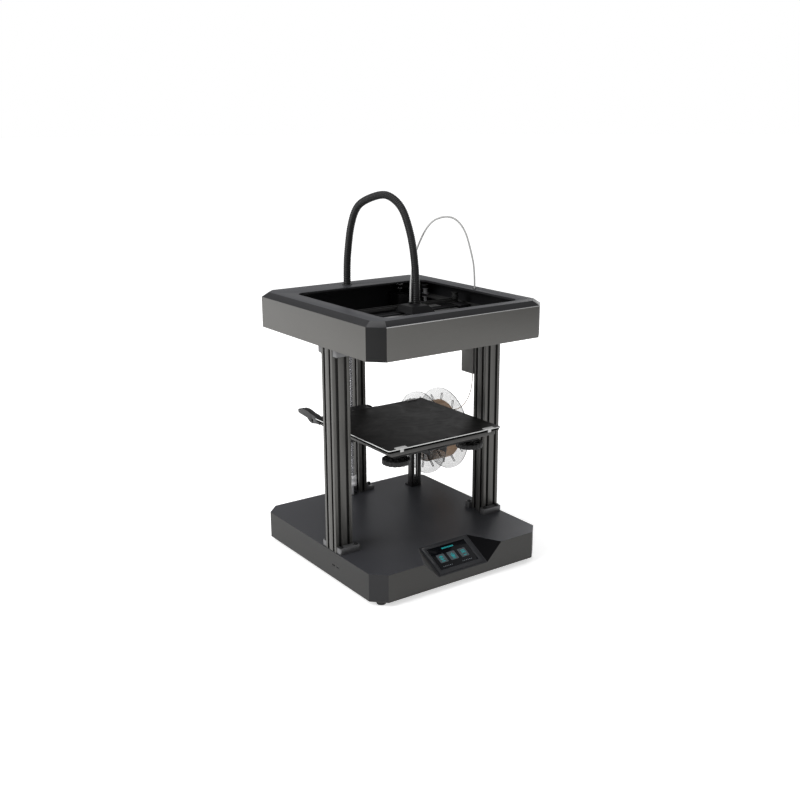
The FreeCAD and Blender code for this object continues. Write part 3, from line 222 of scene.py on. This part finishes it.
NODE_MAT = {
    "base_cover": "sheet_base", "base_plate": "sheet_base", "feet": "rubber", "screen_bezel": "bezel_grey", "touch_screen": "screen_glass",
    "mainboard": "board", "power_supply": "supply", "z_motor": "motor", "ports": "port", "power_switch": "black_gloss",
    "column_left": "extrusion", "column_right": "extrusion", "rear_post_left": "extrusion", "rear_post_right": "extrusion",
    "column_brackets": "bracket_grey", "top_cover": "sheet_grey", "top_tray": "tray_floor", "y_rails": "rail", "xy_motors": "motor",
    "belt_pulleys": "pale_steel_painted_glint", "y_belts": "belt", "cord_glands": "black_plastic", "extruder_cover": "sheet_light", "extruder_motor": "motor",
    "extruder_gear": "brass", "spool_bracket": "black_paint", "spool_arm": "black_plastic", "spool_reel": "clear", "wound_filament": "filament",
    "lead_screw": "chrome", "shaft_coupler": "pale_steel_painted_glint", "print_plate": "bed_glass", "heated_bed": "heater", "bed_tray": "tray_dark",
    "bed_clips": "white_clip", "bed_frame": "black_paint", "levelling_screws": "spring", "z_carriage": "black_paint", "lead_nut": "brass",
    "wheel_left_lower": "black_plastic", "wheel_left_upper": "black_plastic", "wheel_right_lower": "black_plastic", "wheel_right_upper": "black_plastic",
    "knob_front_left": "black_plastic", "knob_front_right": "black_plastic", "knob_rear_left": "black_plastic", "knob_rear_right": "black_plastic",
    "x_beam": "beam_black", "x_rail": "rail", "gantry_blocks": "black_paint", "x_belt": "belt", "head_hood": "hood_black",
    "head_carriage": "black_paint", "hotend": "pulley", "fan_rotor": "black_plastic",
    "hose_rear": "hose", "hose_front": "hose", "guide_tube_rear": "ptfe", "guide_tube_front": "ptfe", "filament_strand": "filament",
}
BODY = {}
for body_name, members in frame["record"]["behaviour"]["bodies"].items():
    for member in members:
        BODY[member] = body_name

for node_name, mat_name in NODE_MAT.items():
    o = NODES[node_name]
    if len(o.data.materials) == 0:
        o.data.materials.append(MAT[mat_name])
    for i in range(len(o.material_slots)):
        o.material_slots[i].material = MAT[mat_name]


def link(o):
    bpy.context.scene.collection.objects.link(o)
    return o


def soften(node, width, segs=2, limit=28.0, pick=None, extra=(), split_z=None):
    """The node's shape with its edges rounded, as its own piece; pick sorts its faces into materials."""
    src = NODES[node]
    me = bpy.data.meshes.new(node + "_soft")
    bm = bmesh.new()
    bm.from_mesh(src.data)
    bmesh.ops.remove_doubles(bm, verts=bm.verts, dist=2e-6)
    bmesh.ops.dissolve_limit(bm, angle_limit=math.radians(0.4), use_dissolve_boundaries=False, verts=bm.verts, edges=bm.edges)
    if split_z is not None:
        bmesh.ops.bisect_plane(bm, geom=bm.verts[:] + bm.edges[:] + bm.faces[:], plane_co=(0, 0, split_z), plane_no=(0, 0, 1))
    bmesh.ops.recalc_face_normals(bm, faces=bm.faces)
    for f in bm.faces:
        f.smooth = True
        f.material_index = pick(f) if pick else 0
    bm.to_mesh(me)
    bm.free()
    o = link(bpy.data.objects.new(node + "_shape", me))
    me.materials.append(MAT[NODE_MAT[node]])
    for m in extra:
        me.materials.append(MAT[m])
    bv = o.modifiers.new("edge", "BEVEL")
    bv.width = width / 1000.0
    bv.segments = segs
    bv.limit_method = "ANGLE"
    bv.angle_limit = math.radians(limit)
    bv.use_clamp_overlap = True
    bv.harden_normals = True
    bv.miter_outer = "MITER_ARC"
    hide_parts(node)
    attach(o, BODY[node])
    return o


def piece(name, verts, faces, mats, body, smooth=True, replaces=(), uv=False):
    me = bpy.data.meshes.new(name)
    me.from_pydata([tuple(v) for v in verts], [], faces)
    me.update()
    bm = bmesh.new()
    bm.from_mesh(me)
    bmesh.ops.recalc_face_normals(bm, faces=bm.faces)
    for f in bm.faces:
        f.smooth = smooth
    bm.to_mesh(me)
    bm.free()
    for m in ([mats] if isinstance(mats, str) else mats):
        me.materials.append(MAT[m])
    o = link(bpy.data.objects.new(name, me))
    if replaces:
        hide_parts(*replaces)
    if body:
        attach(o, body)
    return o


# ------------------------------------------------------------------ sheet covers
def cover_sides(lo, hi, c, n, gap=0.0012):
    """True for a face on the outside of the box lo to hi, or on its corner chamfers."""
    if abs(n.z) > 0.9:
        return True
    d = min(abs(c.x - lo.x), abs(c.x - hi.x)) if abs(n.x) > abs(n.y) else min(abs(c.y - lo.y), abs(c.y - hi.y))
    if abs(n.x) > 0.4 and abs(n.y) > 0.4:
        cx_, cy_ = (lo.x + hi.x) / 2, (lo.y + hi.y) / 2
        return (c.x - cx_) * n.x + (c.y - cy_) * n.y > 0.25
    return d < gap and ((c.x - (lo.x + hi.x) / 2) * n.x + (c.y - (lo.y + hi.y) / 2) * n.y) > 0


BLO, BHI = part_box("base_cover")
TLO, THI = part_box("top_cover")


def base_pick(f):
    n = f.normal
    c = f.calc_center_median()
    if n.z > 0.95:
        return 1
    # Corner chamfers take the near-black copy of the sheet: painted shade.
    if abs(n.x) > 0.5 and abs(n.y) > 0.5 and abs(n.z) < 0.2:
        return 2
    if n.z > 0.3 and n.z < 0.95 and c.y < -0.15:
        # Of the slope's two side facets, only the one facing -x is near-black: painted shade.
        return 3 if abs(n.x) < 0.1 else (4 if n.x < 0 else 0)
    # Inner walls take it too: painted shade.
    if abs(n.z) < 0.2 and not cover_sides(BLO, BHI, c, n):
        return 2
    # Both end faces take the darker copy of the base paint: painted shade.
    if abs(n.x) > 0.9:
        return 5
    return 0


def top_pick(f):
    n = f.normal
    c = f.calc_center_median()
    # Undersides and inner walls take the near-black copy of the sheet: painted shade.
    if n.z < -0.3:
        return 2
    if abs(n.z) < 0.2 and not cover_sides(TLO, THI, c, n):
        return 2
    if n.z > 0.95 and c.z > 0.565:
        return 1
    # Corner chamfers of the top cover take a near-black copy: painted shade.
    if abs(n.x) > 0.5 and abs(n.y) > 0.5 and abs(n.z) < 0.2 and c.z < 0.565:
        return 3
    # The sloped band round the top takes it too: painted shade.
    if 0.2 < n.z < 0.95:
        return 2
    return 0


base_shape = soften("base_cover", 1.3, 3, pick=base_pick, extra=("deck", "sheet_painted_shade", "bezel_grey", "facet_painted_shade", "base_ends_painted_shade"))
top_shape = soften("top_cover", 1.1, 3, limit=20, pick=top_pick, extra=("deck", "sheet_painted_shade", "chamfer_painted_shade", "edge_painted_highlight"))


def small_cutouts(o, inside, share):
    """Edges of small cut-outs get a finer break than the long folds, and flat faces shade flat."""
    me = o.data
    at = me.attributes.new("bevel_weight_edge", "FLOAT", "EDGE")
    bm = bmesh.new()
    bm.from_mesh(me)
    layer = bm.edges.layers.float.get("bevel_weight_edge")
    for e in bm.edges:
        w_ = 0.0
        if len(e.link_faces) == 2 and e.calc_face_angle(0.0) > math.radians(20):
            w_ = share if all(inside(v.co) for v in e.verts) else 1.0
        e[layer] = w_
    bm.to_mesh(me)
    bm.free()
    o.modifiers["edge"].limit_method = "WEIGHT"
    o.modifiers["edge"].harden_normals = False
    wn_ = o.modifiers.new("flat", "WEIGHTED_NORMAL")
    wn_.mode = "FACE_AREA"
    wn_.weight = 100


def painted_highlight_edge(o, hit, width, index):
    """A long fold given a narrow rounded strip of its own, coloured light: a painted highlight along the edge."""
    bm = bmesh.new()
    bm.from_mesh(o.data)
    hits = [e for e in bm.edges if len(e.link_faces) == 2 and hit(*[f.normal for f in e.link_faces])]
    bmesh.ops.bevel(bm, geom=hits, offset=width, offset_type="OFFSET", segments=2, profile=0.5, affect="EDGES", material=index, clamp_overlap=True)
    bm.to_mesh(o.data)
    bm.free()


# A narrow light strip along the top cover's front upper fold: a painted highlight.
painted_highlight_edge(top_shape, lambda a, b: min(a.y, b.y) < -0.99 and (0.2 < a.z < 0.95 and a.y < -0.3 or 0.2 < b.z < 0.95 and b.y < -0.3), 0.0008, 4)
small_cutouts(base_shape, lambda v: (v.x < BLO.x + 0.004 or v.y > BHI.y - 0.004) and BLO.z + 0.004 < v.z < BHI.z - 0.006, 0.2)
for n, w in (("base_plate", 0.4), ("feet", 1.2), ("screen_bezel", 0.4), ("touch_screen", 0.3), 
             ("xy_motors", 1.0), ("z_motor", 1.2),
             ("extruder_cover", 0.7), ("extruder_motor", 0.8), ("spool_bracket", 0.6), ("spool_arm", 1.0), ("bed_frame", 0.8),
             ("z_carriage", 0.8), ("x_beam", 0.4), ("x_rail", 0.3), ("head_hood", 0.9), ("head_carriage", 0.5),
             ("bed_clips", 0.5), ("shaft_coupler", 0.7), ("lead_nut", 0.4), ("knob_front_left", 1.2), ("knob_front_right", 1.2),
             ("knob_rear_left", 1.2), ("knob_rear_right", 1.2), ("wheel_left_lower", 0.8), ("wheel_left_upper", 0.8),
             ("wheel_right_lower", 0.8), ("wheel_right_upper", 0.8), ("power_switch", 0.5), ("ports", 0.25),
             ("belt_pulleys", 0.3), ("cord_glands", 0.6)):
    soften(n, w)


def in_slot(node, depth=0.0004):
    lo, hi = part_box(node)

    def pick(f):
        n, c = f.normal, f.calc_center_median()
        if abs(n.z) > 0.5:
            return 0
        d = min(c.x - lo.x, hi.x - c.x, c.y - lo.y, hi.y - c.y)
        return 1 if d > depth else 0
    return pick


# Faces inside the T-slots take the darker copy: painted shade.
for n in ("column_left", "column_right", "rear_post_left", "rear_post_right"):
    soften(n, 0.3, pick=in_slot(n), extra=("slot_painted_shade",))


def islands(bm):
    bm.faces.ensure_lookup_table()
    seen, out = set(), []
    for f in bm.faces:
        if f.index in seen:
            continue
        group, todo = [], [f]
        seen.add(f.index)
        while todo:
            g = todo.pop()
            group.append(g)
            for e in g.edges:
                for h in e.link_faces:
                    if h.index not in seen:
                        seen.add(h.index)
                        todo.append(h)
        out.append(group)
    return out


def soften_by_solid(node, width, choose, extra):
    """As soften, with a material for each whole solid, chosen from its size and place."""
    o = soften(node, width, extra=extra)
    bm = bmesh.new()
    bm.from_mesh(o.data)
    bm.faces.ensure_lookup_table()
    bm.faces.index_update()
    for group in islands(bm):
        vs = [v.co for f in group for v in f.verts]
        lo = Vector((min(v.x for v in vs), min(v.y for v in vs), min(v.z for v in vs)))
        hi = Vector((max(v.x for v in vs), max(v.y for v in vs), max(v.z for v in vs)))
        k = choose(lo, hi)
        for f in group:
            f.material_index = k
    bm.to_mesh(o.data)
    bm.free()
    return o


soften_by_solid("column_brackets", 0.5, lambda lo, hi: 1 if (hi.x - lo.x) < 0.012 else 0, ("black_paint",))
soften("y_rails", 0.3, pick=lambda f: 1 if f.calc_center_median().z < 0.5074 else 0, extra=("black_paint",))
soften("bed_tray", 0.8)
soften("heated_bed", 0.4)
# The glass's edge is cut at mid-thickness: the upper half is light grey, a painted highlight, and the lower half
# near-black, painted shade in the gap over the heated bed.
PLATE_MID = (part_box("print_plate")[0].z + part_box("print_plate")[1].z) / 2 + 0.0002
soften("print_plate", 0.5, pick=lambda f: 0 if abs(f.normal.z) > 0.5 else (1 if f.calc_center_median().z > PLATE_MID else 2),
       extra=("glass_edge_painted_highlight", "heater"), split_z=PLATE_MID)
# Small tall solids among the gantry blocks take the near-white steel: painted glints.
soften_by_solid("gantry_blocks", 0.5, lambda lo, hi: 1 if (hi.x - lo.x) < 0.0175 and (hi.y - lo.y) < 0.0175 and (hi.z - lo.z) > 0.018 else 0, ("pale_steel_painted_glint",))
# Reel faces not facing along the axle take the dark grey: painted shade.
soften("spool_reel", 0.3, pick=lambda f: 0 if abs(f.normal.x) > 0.7 else 1, extra=("clear_edge_painted_shade",))

# ------------------------------------------------------------------ screen
SL = math.hypot(72.0, 37.3)
T = Vector((0, -72.0 / SL, -37.3 / SL))
SN = Vector((0, -37.3 / SL, 72.0 / SL))


def on_slope(x, s, d):
    return P(x, -158.0, 69.0) + T * (s / 1000.0) + SN * (d / 1000.0)


def plaque(name, outlines, mat, d0=0.9, d1=1.05, inset=0.25):
    """Thin raised marks on the glass, each from an outline in (x, s) millimetres, with a small edge break."""
    verts, faces = [], []
    for pts in outlines:
        cxm = sum(p[0] for p in pts) / len(pts)
        csm = sum(p[1] for p in pts) / len(pts)
        k = len(verts)
        n = len(pts)
        for d, q in ((d0, 0.0), (d1 - 0.03, 0.0), (d1, inset)):
            for x, s in pts:
                r = math.hypot(x - cxm, s - csm) or 1.0
                verts.append(on_slope(x - (x - cxm) / r * q, s - (s - csm) / r * q, d))
        for lv in range(2):
            for i in range(n):
                j = (i + 1) % n
                faces.append((k + lv * n + i, k + lv * n + j, k + (lv + 1) * n + j, k + (lv + 1) * n + i))
        faces.append(tuple(k + 2 * n + i for i in range(n)))
        faces.append(tuple(k + i for i in reversed(range(n))))
    return piece(name, verts, faces, mat, "frame", smooth=False)


def rrect(x0, x1, s0, s1, r=1.2, k=4):
    pts = []
    for cx_, cs_, a0 in ((x1 - r, s0 + r, -90), (x1 - r, s1 - r, 0), (x0 + r, s1 - r, 90), (x0 + r, s0 + r, 180)):
        for i in range(k + 1):
            a = math.radians(a0 + 90.0 * i / k)
            pts.append((cx_ + r * math.cos(a), cs_ + r * math.sin(a)))
    return pts


def disc(x, s, r, k=20):
    return [(x + r * math.cos(2 * math.pi * i / k), s + r * math.sin(2 * math.pi * i / k)) for i in range(k)]


plaque("screen_title", [rrect(x, x + w_, 15.2, 18.9, 0.5) for x, w_ in ((-14.6, 3.1), (-10.6, 2.2), (-7.4, 3.3), (-3.0, 2.4), (0.5, 3.2), (4.6, 2.2), (7.7, 3.0), (11.7, 3.2))],
       "teal", inset=0.12)
plaque("screen_tiles", [rrect(a, b, 29.6, 51.6, 1.6) for a, b in ((-38.6, -18.8), (-11.4, 8.6), (16.4, 36.2))], "tile", inset=0.2)


def ring_mark(x, s_, r0, r1, a0, a1, k=18):
    """Outline of an arc band about (x, s_)."""
    pts = []
    for i in range(k + 1):
        a = math.radians(a0 + (a1 - a0) * i / k)
        pts.append((x + r1 * math.cos(a), s_ + r1 * math.sin(a)))
    for i in range(k, -1, -1):
        a = math.radians(a0 + (a1 - a0) * i / k)
        pts.append((x + r0 * math.cos(a), s_ + r0 * math.sin(a)))
    return pts


plaque("screen_icons", [ring_mark(-29.1, 39.2, 3.4, 5.2, 20, 170), ring_mark(-29.1, 39.2, 3.4, 5.2, 200, 340), rrect(-30.0, -28.2, 35.0, 43.4, 0.4),
                        rrect(-33.4, -24.8, 46.8, 48.4, 0.4),
                        rrect(-1.6, 0.4, 33.8, 41.0, 0.5), disc(-0.6, 42.6, 2.6), rrect(-4.8, -3.4, 36.8, 43.8, 0.4), rrect(2.2, 3.6, 36.8, 43.8, 0.4),
                        rrect(-4.9, 3.7, 46.8, 48.4, 0.4),
                        rrect(22.9, 32.3, 34.2, 35.6, 0.4), rrect(22.9, 24.3, 36.2, 43.0, 0.4), rrect(30.9, 32.3, 36.2, 43.0, 0.4),
                        rrect(25.6, 29.6, 37.4, 41.8, 0.6), rrect(23.3, 31.9, 46.8, 48.4, 0.4)],
       "teal", d0=1.05, d1=1.15, inset=0.1)
plaque("screen_ticks", [rrect(x, x + 1.5, 60.2, 61.6, 0.3) for x in (-38.5, -34.2, -30.6, -26.0, -21.8, -17.5, 11.0, 15.4, 20.0, 24.6, 29.0, 33.4)],
       "pale_mark", inset=0.1)


# ------------------------------------------------------------------ routes of the free cords
def route(name, pts):
    """Points of the smooth line that has pts as its control points."""
    cu = bpy.data.curves.new(name + "_line", "CURVE")
    cu.dimensions = "3D"
    cu.resolution_u = 24
    sp = cu.splines.new("NURBS")
    sp.points.add(len(pts) - 1)
    for q, p in zip(sp.points, pts):
        q.co = (*P(*p), 1.0)
    sp.order_u = 3
    sp.use_endpoint_u = True
    o = link(bpy.data.objects.new(name + "_line", cu))
    bpy.context.view_layer.update()
    me = bpy.data.meshes.new_from_object(o.evaluated_get(bpy.context.evaluated_depsgraph_get()))
    out = [v.co.copy() for v in me.vertices]
    bpy.data.objects.remove(o)
    bpy.data.meshes.remove(me)
    return out


def walk(line, step):
    """The line's points at an even spacing, with its length."""
    acc = [0.0]
    for a, b in zip(line, line[1:]):
        acc.append(acc[-1] + (b - a).length)
    total = acc[-1]
    n = max(2, int(round(total / step)))
    out, k = [], 0
    for i in range(n + 1):
        t = total * i / n
        while k < len(line) - 2 and acc[k + 1] < t:
            k += 1
        d = acc[k + 1] - acc[k]
        out.append(line[k].lerp(line[k + 1], (t - acc[k]) / d if d > 0 else 0.0))
    return out, total


def sweep(name, line, radius_at, step, seg, mat, capped=True):
    pts, total = walk(line, step)
    n = len(pts)
    up = Vector((1, 0, 0))
    verts, faces = [], []
    for i, p in enumerate(pts):
        t = (pts[min(i + 1, n - 1)] - pts[max(i - 1, 0)]).normalized()
        up = (up - t * up.dot(t)).normalized()
        side = t.cross(up)
        r = radius_at(i * total / (n - 1))
        for k in range(seg):
            a = 2 * math.pi * k / seg
            verts.append(p + (up * math.cos(a) + side * math.sin(a)) * r)
    for i in range(n - 1):
        for k in range(seg):
            j = (k + 1) % seg
            faces.append((i * seg + k, i * seg + j, (i + 1) * seg + j, (i + 1) * seg + k))
    if capped:
        faces.append(tuple(range(seg - 1, -1, -1)))
        faces.append(tuple((n - 1) * seg + k for k in range(seg)))
    return piece(name, verts, faces, mat, None), pts, total


z2 = 570.0
hz = 546.0
HOSE_REAR = [(-13.0, 180.0, z2 - 4.0), (-13.0, 180.0, z2 + 44.0), (-11.02, 174.82, z2 + 89.4), (-8.94, 169.41, z2 + 125.5),
             (-4.56, 157.97, z2 + 163.0), (2.32, 140.0, z2 + 184.1), (11.36, 116.41, z2 + 193.0)]
HOSE_FRONT = [(11.36, 116.41, z2 + 193.0), (20.4, 92.82, z2 + 201.9), (29.88, 68.06, z2 + 198.0), (40.18, 41.17, z2 + 176.0),
              (46.62, 24.37, z2 + 131.0), (49.99, 15.57, z2 + 90.0), (51.75, 10.97, z2 + 48.0), (52.5, 9.0, z2 + 9.0), (52.5, 9.0, hz - 2.0)]
PTFE_REAR = [(178.0, -33.0, z2 - 4.0), (178.0, -33.0, z2 + 40.0), (170.15, -28.53, z2 + 82.3), (157.81, -21.49, z2 + 130.3),
             (135.93, -6.05, z2 + 157.4), (116.11, 2.28, z2 + 154.1)]
PTFE_FRONT = [(116.11, 2.28, z2 + 154.1), (101.55, 8.4, z2 + 151.68), (87.2, 20.0, z2 + 132.1), (77.17, 30.0, z2 + 103.7),
              (63.79, 33.0, z2 + 70.9), (52.93, 27.0, z2 + 34.1), (39.5, 12.0, z2 + 6.0), (39.5, 12.0, hz + 1.0)]
EZ0 = 382.0
FIL = [(186.0, -21.0, EZ0 + 0.2), (187.0, -19.0, EZ0 - 28), (191.0, -4.0, EZ0 - 60), (197.0, 24.0, EZ0 - 90),
       (204.0, 62.0, EZ0 - 112), (210.0, 107.0, EZ0 - 117.5), (212.6, 150.0, 195.0 + 72.0 + 1.2)]


def ribs(s):
    """Corrugation: 4 mm pitch with narrow valleys."""
    c = 0.5 + 0.5 * math.cos(2 * math.pi * s / 0.0040)
    return 0.0074 + 0.0010 * (c ** 0.6)


def free_tube(node, pts, radius_at, step, seg, mat):
    line = route(node, pts)
    o, path, total = sweep(node + "_tube", line, radius_at, step, seg, mat)
    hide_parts(node)
    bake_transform(o)
    tuple(path[0])
    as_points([tuple(p) for p in path[::3]] + ([tuple(path[-1])] if (len(path) - 1) % 3 else []))
    return o


free_tube("hose_rear", HOSE_REAR, ribs, 0.00065, 22, "hose")
free_tube("hose_front", HOSE_FRONT, ribs, 0.00065, 22, "hose")
free_tube("guide_tube_rear", PTFE_REAR, lambda s: 0.002, 0.002, 14, "ptfe")
free_tube("guide_tube_front", PTFE_FRONT, lambda s: 0.002, 0.002, 14, "ptfe")

fl = bpy.data.curves.new("filament_free", "CURVE")
fl.dimensions = "3D"
fl.resolution_u = 16
fs = fl.splines.new("NURBS")
fs.points.add(len(FIL) - 1)
for q, p in zip(fs.points, FIL):
    q.co = (*P(*p), 1.0)
fs.order_u = 3
fs.use_endpoint_u = True
fl.bevel_depth = 0.000875
fl.bevel_resolution = 3
fl.use_fill_caps = True
fl.materials.append(MAT["filament"])
fo = link(bpy.data.objects.new("filament_free", fl))
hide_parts("filament_strand")
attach(fo, "frame")
fl_line = route("filament_check", FIL)
walk(fl_line, 0.002)[1]

# ------------------------------------------------------------------ wound filament: rows of strand on the reel
SX0, SX1, SY, SZ = 179.2, 246.0, 164.0, 195.0
wb_lo, wb_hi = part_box("wound_filament")
wx0, wx1 = wb_lo.x * 1000 + OX, wb_hi.x * 1000 + OX
WR = (wb_hi.z - wb_lo.z) * 500.0
verts, faces = [], []
seg = 96
rows = []
x = wx0
pitch = 1.9
count = int((wx1 - wx0) / pitch)
pitch = (wx1 - wx0) / count
rows.append((wx0, 42.0))
for i in range(count):
    wob = 0.35 * math.sin(i * 1.7) + 0.25 * math.sin(i * 0.53 + 1.0)
    top = WR - 0.55 + 0.35 * wob
    for u in range(5):
        a = math.pi * u / 4
        rows.append((wx0 + (i + 0.5 - 0.5 * math.cos(a)) * pitch, min(WR - 0.02, top - 0.85 + 0.85 * math.sin(a))))
rows.append((wx1, 42.0))
for xr, rr in rows:
    for k in range(seg):
        a = 2 * math.pi * k / seg
        lean = 0.0 if rr < 43 else 0.12 * math.sin(3 * a + xr)
        verts.append(P(xr, SY + (rr + lean - 0.12) * math.cos(a), SZ + (rr + lean - 0.12) * math.sin(a)))
for i in range(len(rows) - 1):
    for k in range(seg):
        j = (k + 1) % seg
        faces.append((i * seg + k, i * seg + j, (i + 1) * seg + j, (i + 1) * seg + k))
m0 = (len(rows) - 1) * seg
for k in range(seg):
    j = (k + 1) % seg
    faces.append((m0 + k, m0 + j, j, k))
piece("wound_strand_rows", verts, faces, "filament", BODY["wound_filament"], replaces=("wound_filament",))

# ------------------------------------------------------------------ lead screw with its thread
ls_lo, ls_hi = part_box("lead_screw")
zc0, zc1 = ls_lo.z * 1000, ls_hi.z * 1000
SCX, SCY = (ls_lo.x + ls_hi.x) * 500 + OX, (ls_lo.y + ls_hi.y) * 500 + OY
verts, faces = [], []
seg, lead, starts = 20, 8.0, 4
dz = 0.25
nz_ = int((zc1 - zc0 - 2.0) / dz)
rings = [(zc0, 2.9, False), (zc0 + 1.0, 3.9, False)]
for i in range(nz_ + 1):
    rings.append((zc0 + 1.0 + (zc1 - zc0 - 2.0) * i / nz_, None, True))
rings += [(zc1 - 1.0, 3.9, False), (zc1, 2.9, False)]
for z, r, cut_ in rings:
    for k in range(seg):
        a = 2 * math.pi * k / seg
        if cut_:
            ph = (z / lead * starts - a / (2 * math.pi) * starts) % 1.0
            tri = abs(ph - 0.5) * 2
            rr = 3.45 + 0.55 * min(1.0, max(0.0, (tri - 0.25) * 2.2))
        else:
            rr = r
        verts.append(P(SCX + rr * math.cos(a), SCY + rr * math.sin(a), z))
for i in range(len(rings) - 1):
    for k in range(seg):
        j = (k + 1) % seg
        faces.append((i * seg + k, i * seg + j, (i + 1) * seg + j, (i + 1) * seg + k))
faces.append(tuple(range(seg - 1, -1, -1)))
faces.append(tuple((len(rings) - 1) * seg + k for k in range(seg)))
piece("lead_screw_thread", verts, faces, "chrome", BODY["lead_screw"], replaces=("lead_screw",))

# ------------------------------------------------------------------ floor, lights, camera
# The floor glows, painted light: strength 0.57 out to about 0.64 m from the centre, rising to 0.86 beyond 1.6 m, so the
# far floor reads white and the machine's shadows still show near it.
fm = bpy.data.materials.new("floor_mat")
fm.use_nodes = True
fb = fm.node_tree.nodes["Principled BSDF"]
fb.inputs["Base Color"].default_value = (0.86, 0.86, 0.86, 1)
fb.inputs["Roughness"].default_value = 0.8
fb.inputs["Specular IOR Level"].default_value = 0.1
fb.inputs["Emission Color"].default_value = (1, 1, 1, 1)
ft = fm.node_tree.nodes.new("ShaderNodeTexCoord")
fs_ = fm.node_tree.nodes.new("ShaderNodeMapping")
fs_.inputs["Scale"].default_value = (0.5, 0.5, 0.5)
fgr = fm.node_tree.nodes.new("ShaderNodeTexGradient")
fgr.gradient_type = "SPHERICAL"
fmr = fm.node_tree.nodes.new("ShaderNodeMapRange")
fmr.inputs["From Min"].default_value = 0.2
fmr.inputs["From Max"].default_value = 0.68
fmr.inputs["To Min"].default_value = 0.86
fmr.inputs["To Max"].default_value = 0.57
fm.node_tree.links.new(ft.outputs["Object"], fs_.inputs["Vector"])
fm.node_tree.links.new(fs_.outputs["Vector"], fgr.inputs["Vector"])
fm.node_tree.links.new(fgr.outputs["Fac"], fmr.inputs["Value"])
fm.node_tree.links.new(fmr.outputs["Result"], fb.inputs["Emission Strength"])
fme = bpy.data.meshes.new("floor")
ring_n = 96
fme.from_pydata([(0, 0, 0)] + [(40 * math.cos(2 * math.pi * i / ring_n), 40 * math.sin(2 * math.pi * i / ring_n), 0) for i in range(ring_n)],
                [], [(0, 1 + i, 1 + (i + 1) % ring_n) for i in range(ring_n)])
fme.materials.append(fm)
floor = link(bpy.data.objects.new("floor", fme))

w = bpy.data.worlds.new("studio")
bpy.context.scene.world = w
w.use_nodes = True
wn, wl = w.node_tree.nodes, w.node_tree.links
dim = wn["Background"]
dim.inputs["Color"].default_value = (1, 1, 1, 1)
dim.inputs["Strength"].default_value = 0.33
seen = wn.new("ShaderNodeBackground")
seen.inputs["Color"].default_value = (1, 1, 1, 1)
seen.inputs["Strength"].default_value = 1.0
lp = wn.new("ShaderNodeLightPath")
wm = wn.new("ShaderNodeMixShader")
wl.new(lp.outputs["Is Camera Ray"], wm.inputs[0])
wl.new(dim.outputs[0], wm.inputs[1])
wl.new(seen.outputs[0], wm.inputs[2])
wl.new(wm.outputs[0], wn["World Output"].inputs["Surface"])


def area(name, loc, target, size, power, sy=None, col=(1, 1, 1)):
    d = bpy.data.lights.new(name, "AREA")
    d.shape = "RECTANGLE"
    d.size = size
    d.size_y = sy or size
    d.energy = power
    d.color = col
    o = link(bpy.data.objects.new(name, d))
    o.location = loc
    o.rotation_mode = "QUATERNION"
    o.rotation_quaternion = (Vector(target) - Vector(loc)).to_track_quat("-Z", "Y")
    return o


area("key_left", (-2.3, 0.15, 1.85), (0, 0, 0.3), 1.6, 53)
area("fill_front", (0.9, -3.0, 1.5), (0, 0, 0.4), 2.0, 9)
area("top_soft", (-0.3, 0.2, 2.6), (0, 0, 0.4), 1.6, 28)
area("rim_right", (2.5, 1.2, 0.75), (0, 0, 0.3), 1.4, 14)

AZ, EL, ROLL = math.radians(-34.974), math.radians(15.527), math.radians(-0.268)
back = Vector((math.sin(AZ) * math.cos(EL), -math.cos(AZ) * math.cos(EL), math.sin(EL)))
right = (-back).cross(Vector((0, 0, 1))).normalized()
upv = right.cross(-back).normalized()
rot = Matrix((right, upv, back)).transposed() @ Matrix.Rotation(ROLL, 3, "Z")
cd = bpy.data.cameras.new("camera")
cd.lens = 46.90
cd.sensor_width = 36.0
cd.clip_start, cd.clip_end = 0.05, 100
cam = link(bpy.data.objects.new("camera", cd))
cam.matrix_world = Matrix.Translation((-1.25519, -1.78899, 0.94231)) @ rot.to_4x4()
bpy.context.scene.camera = cam
bpy.context.scene.view_settings.view_transform = "Standard"
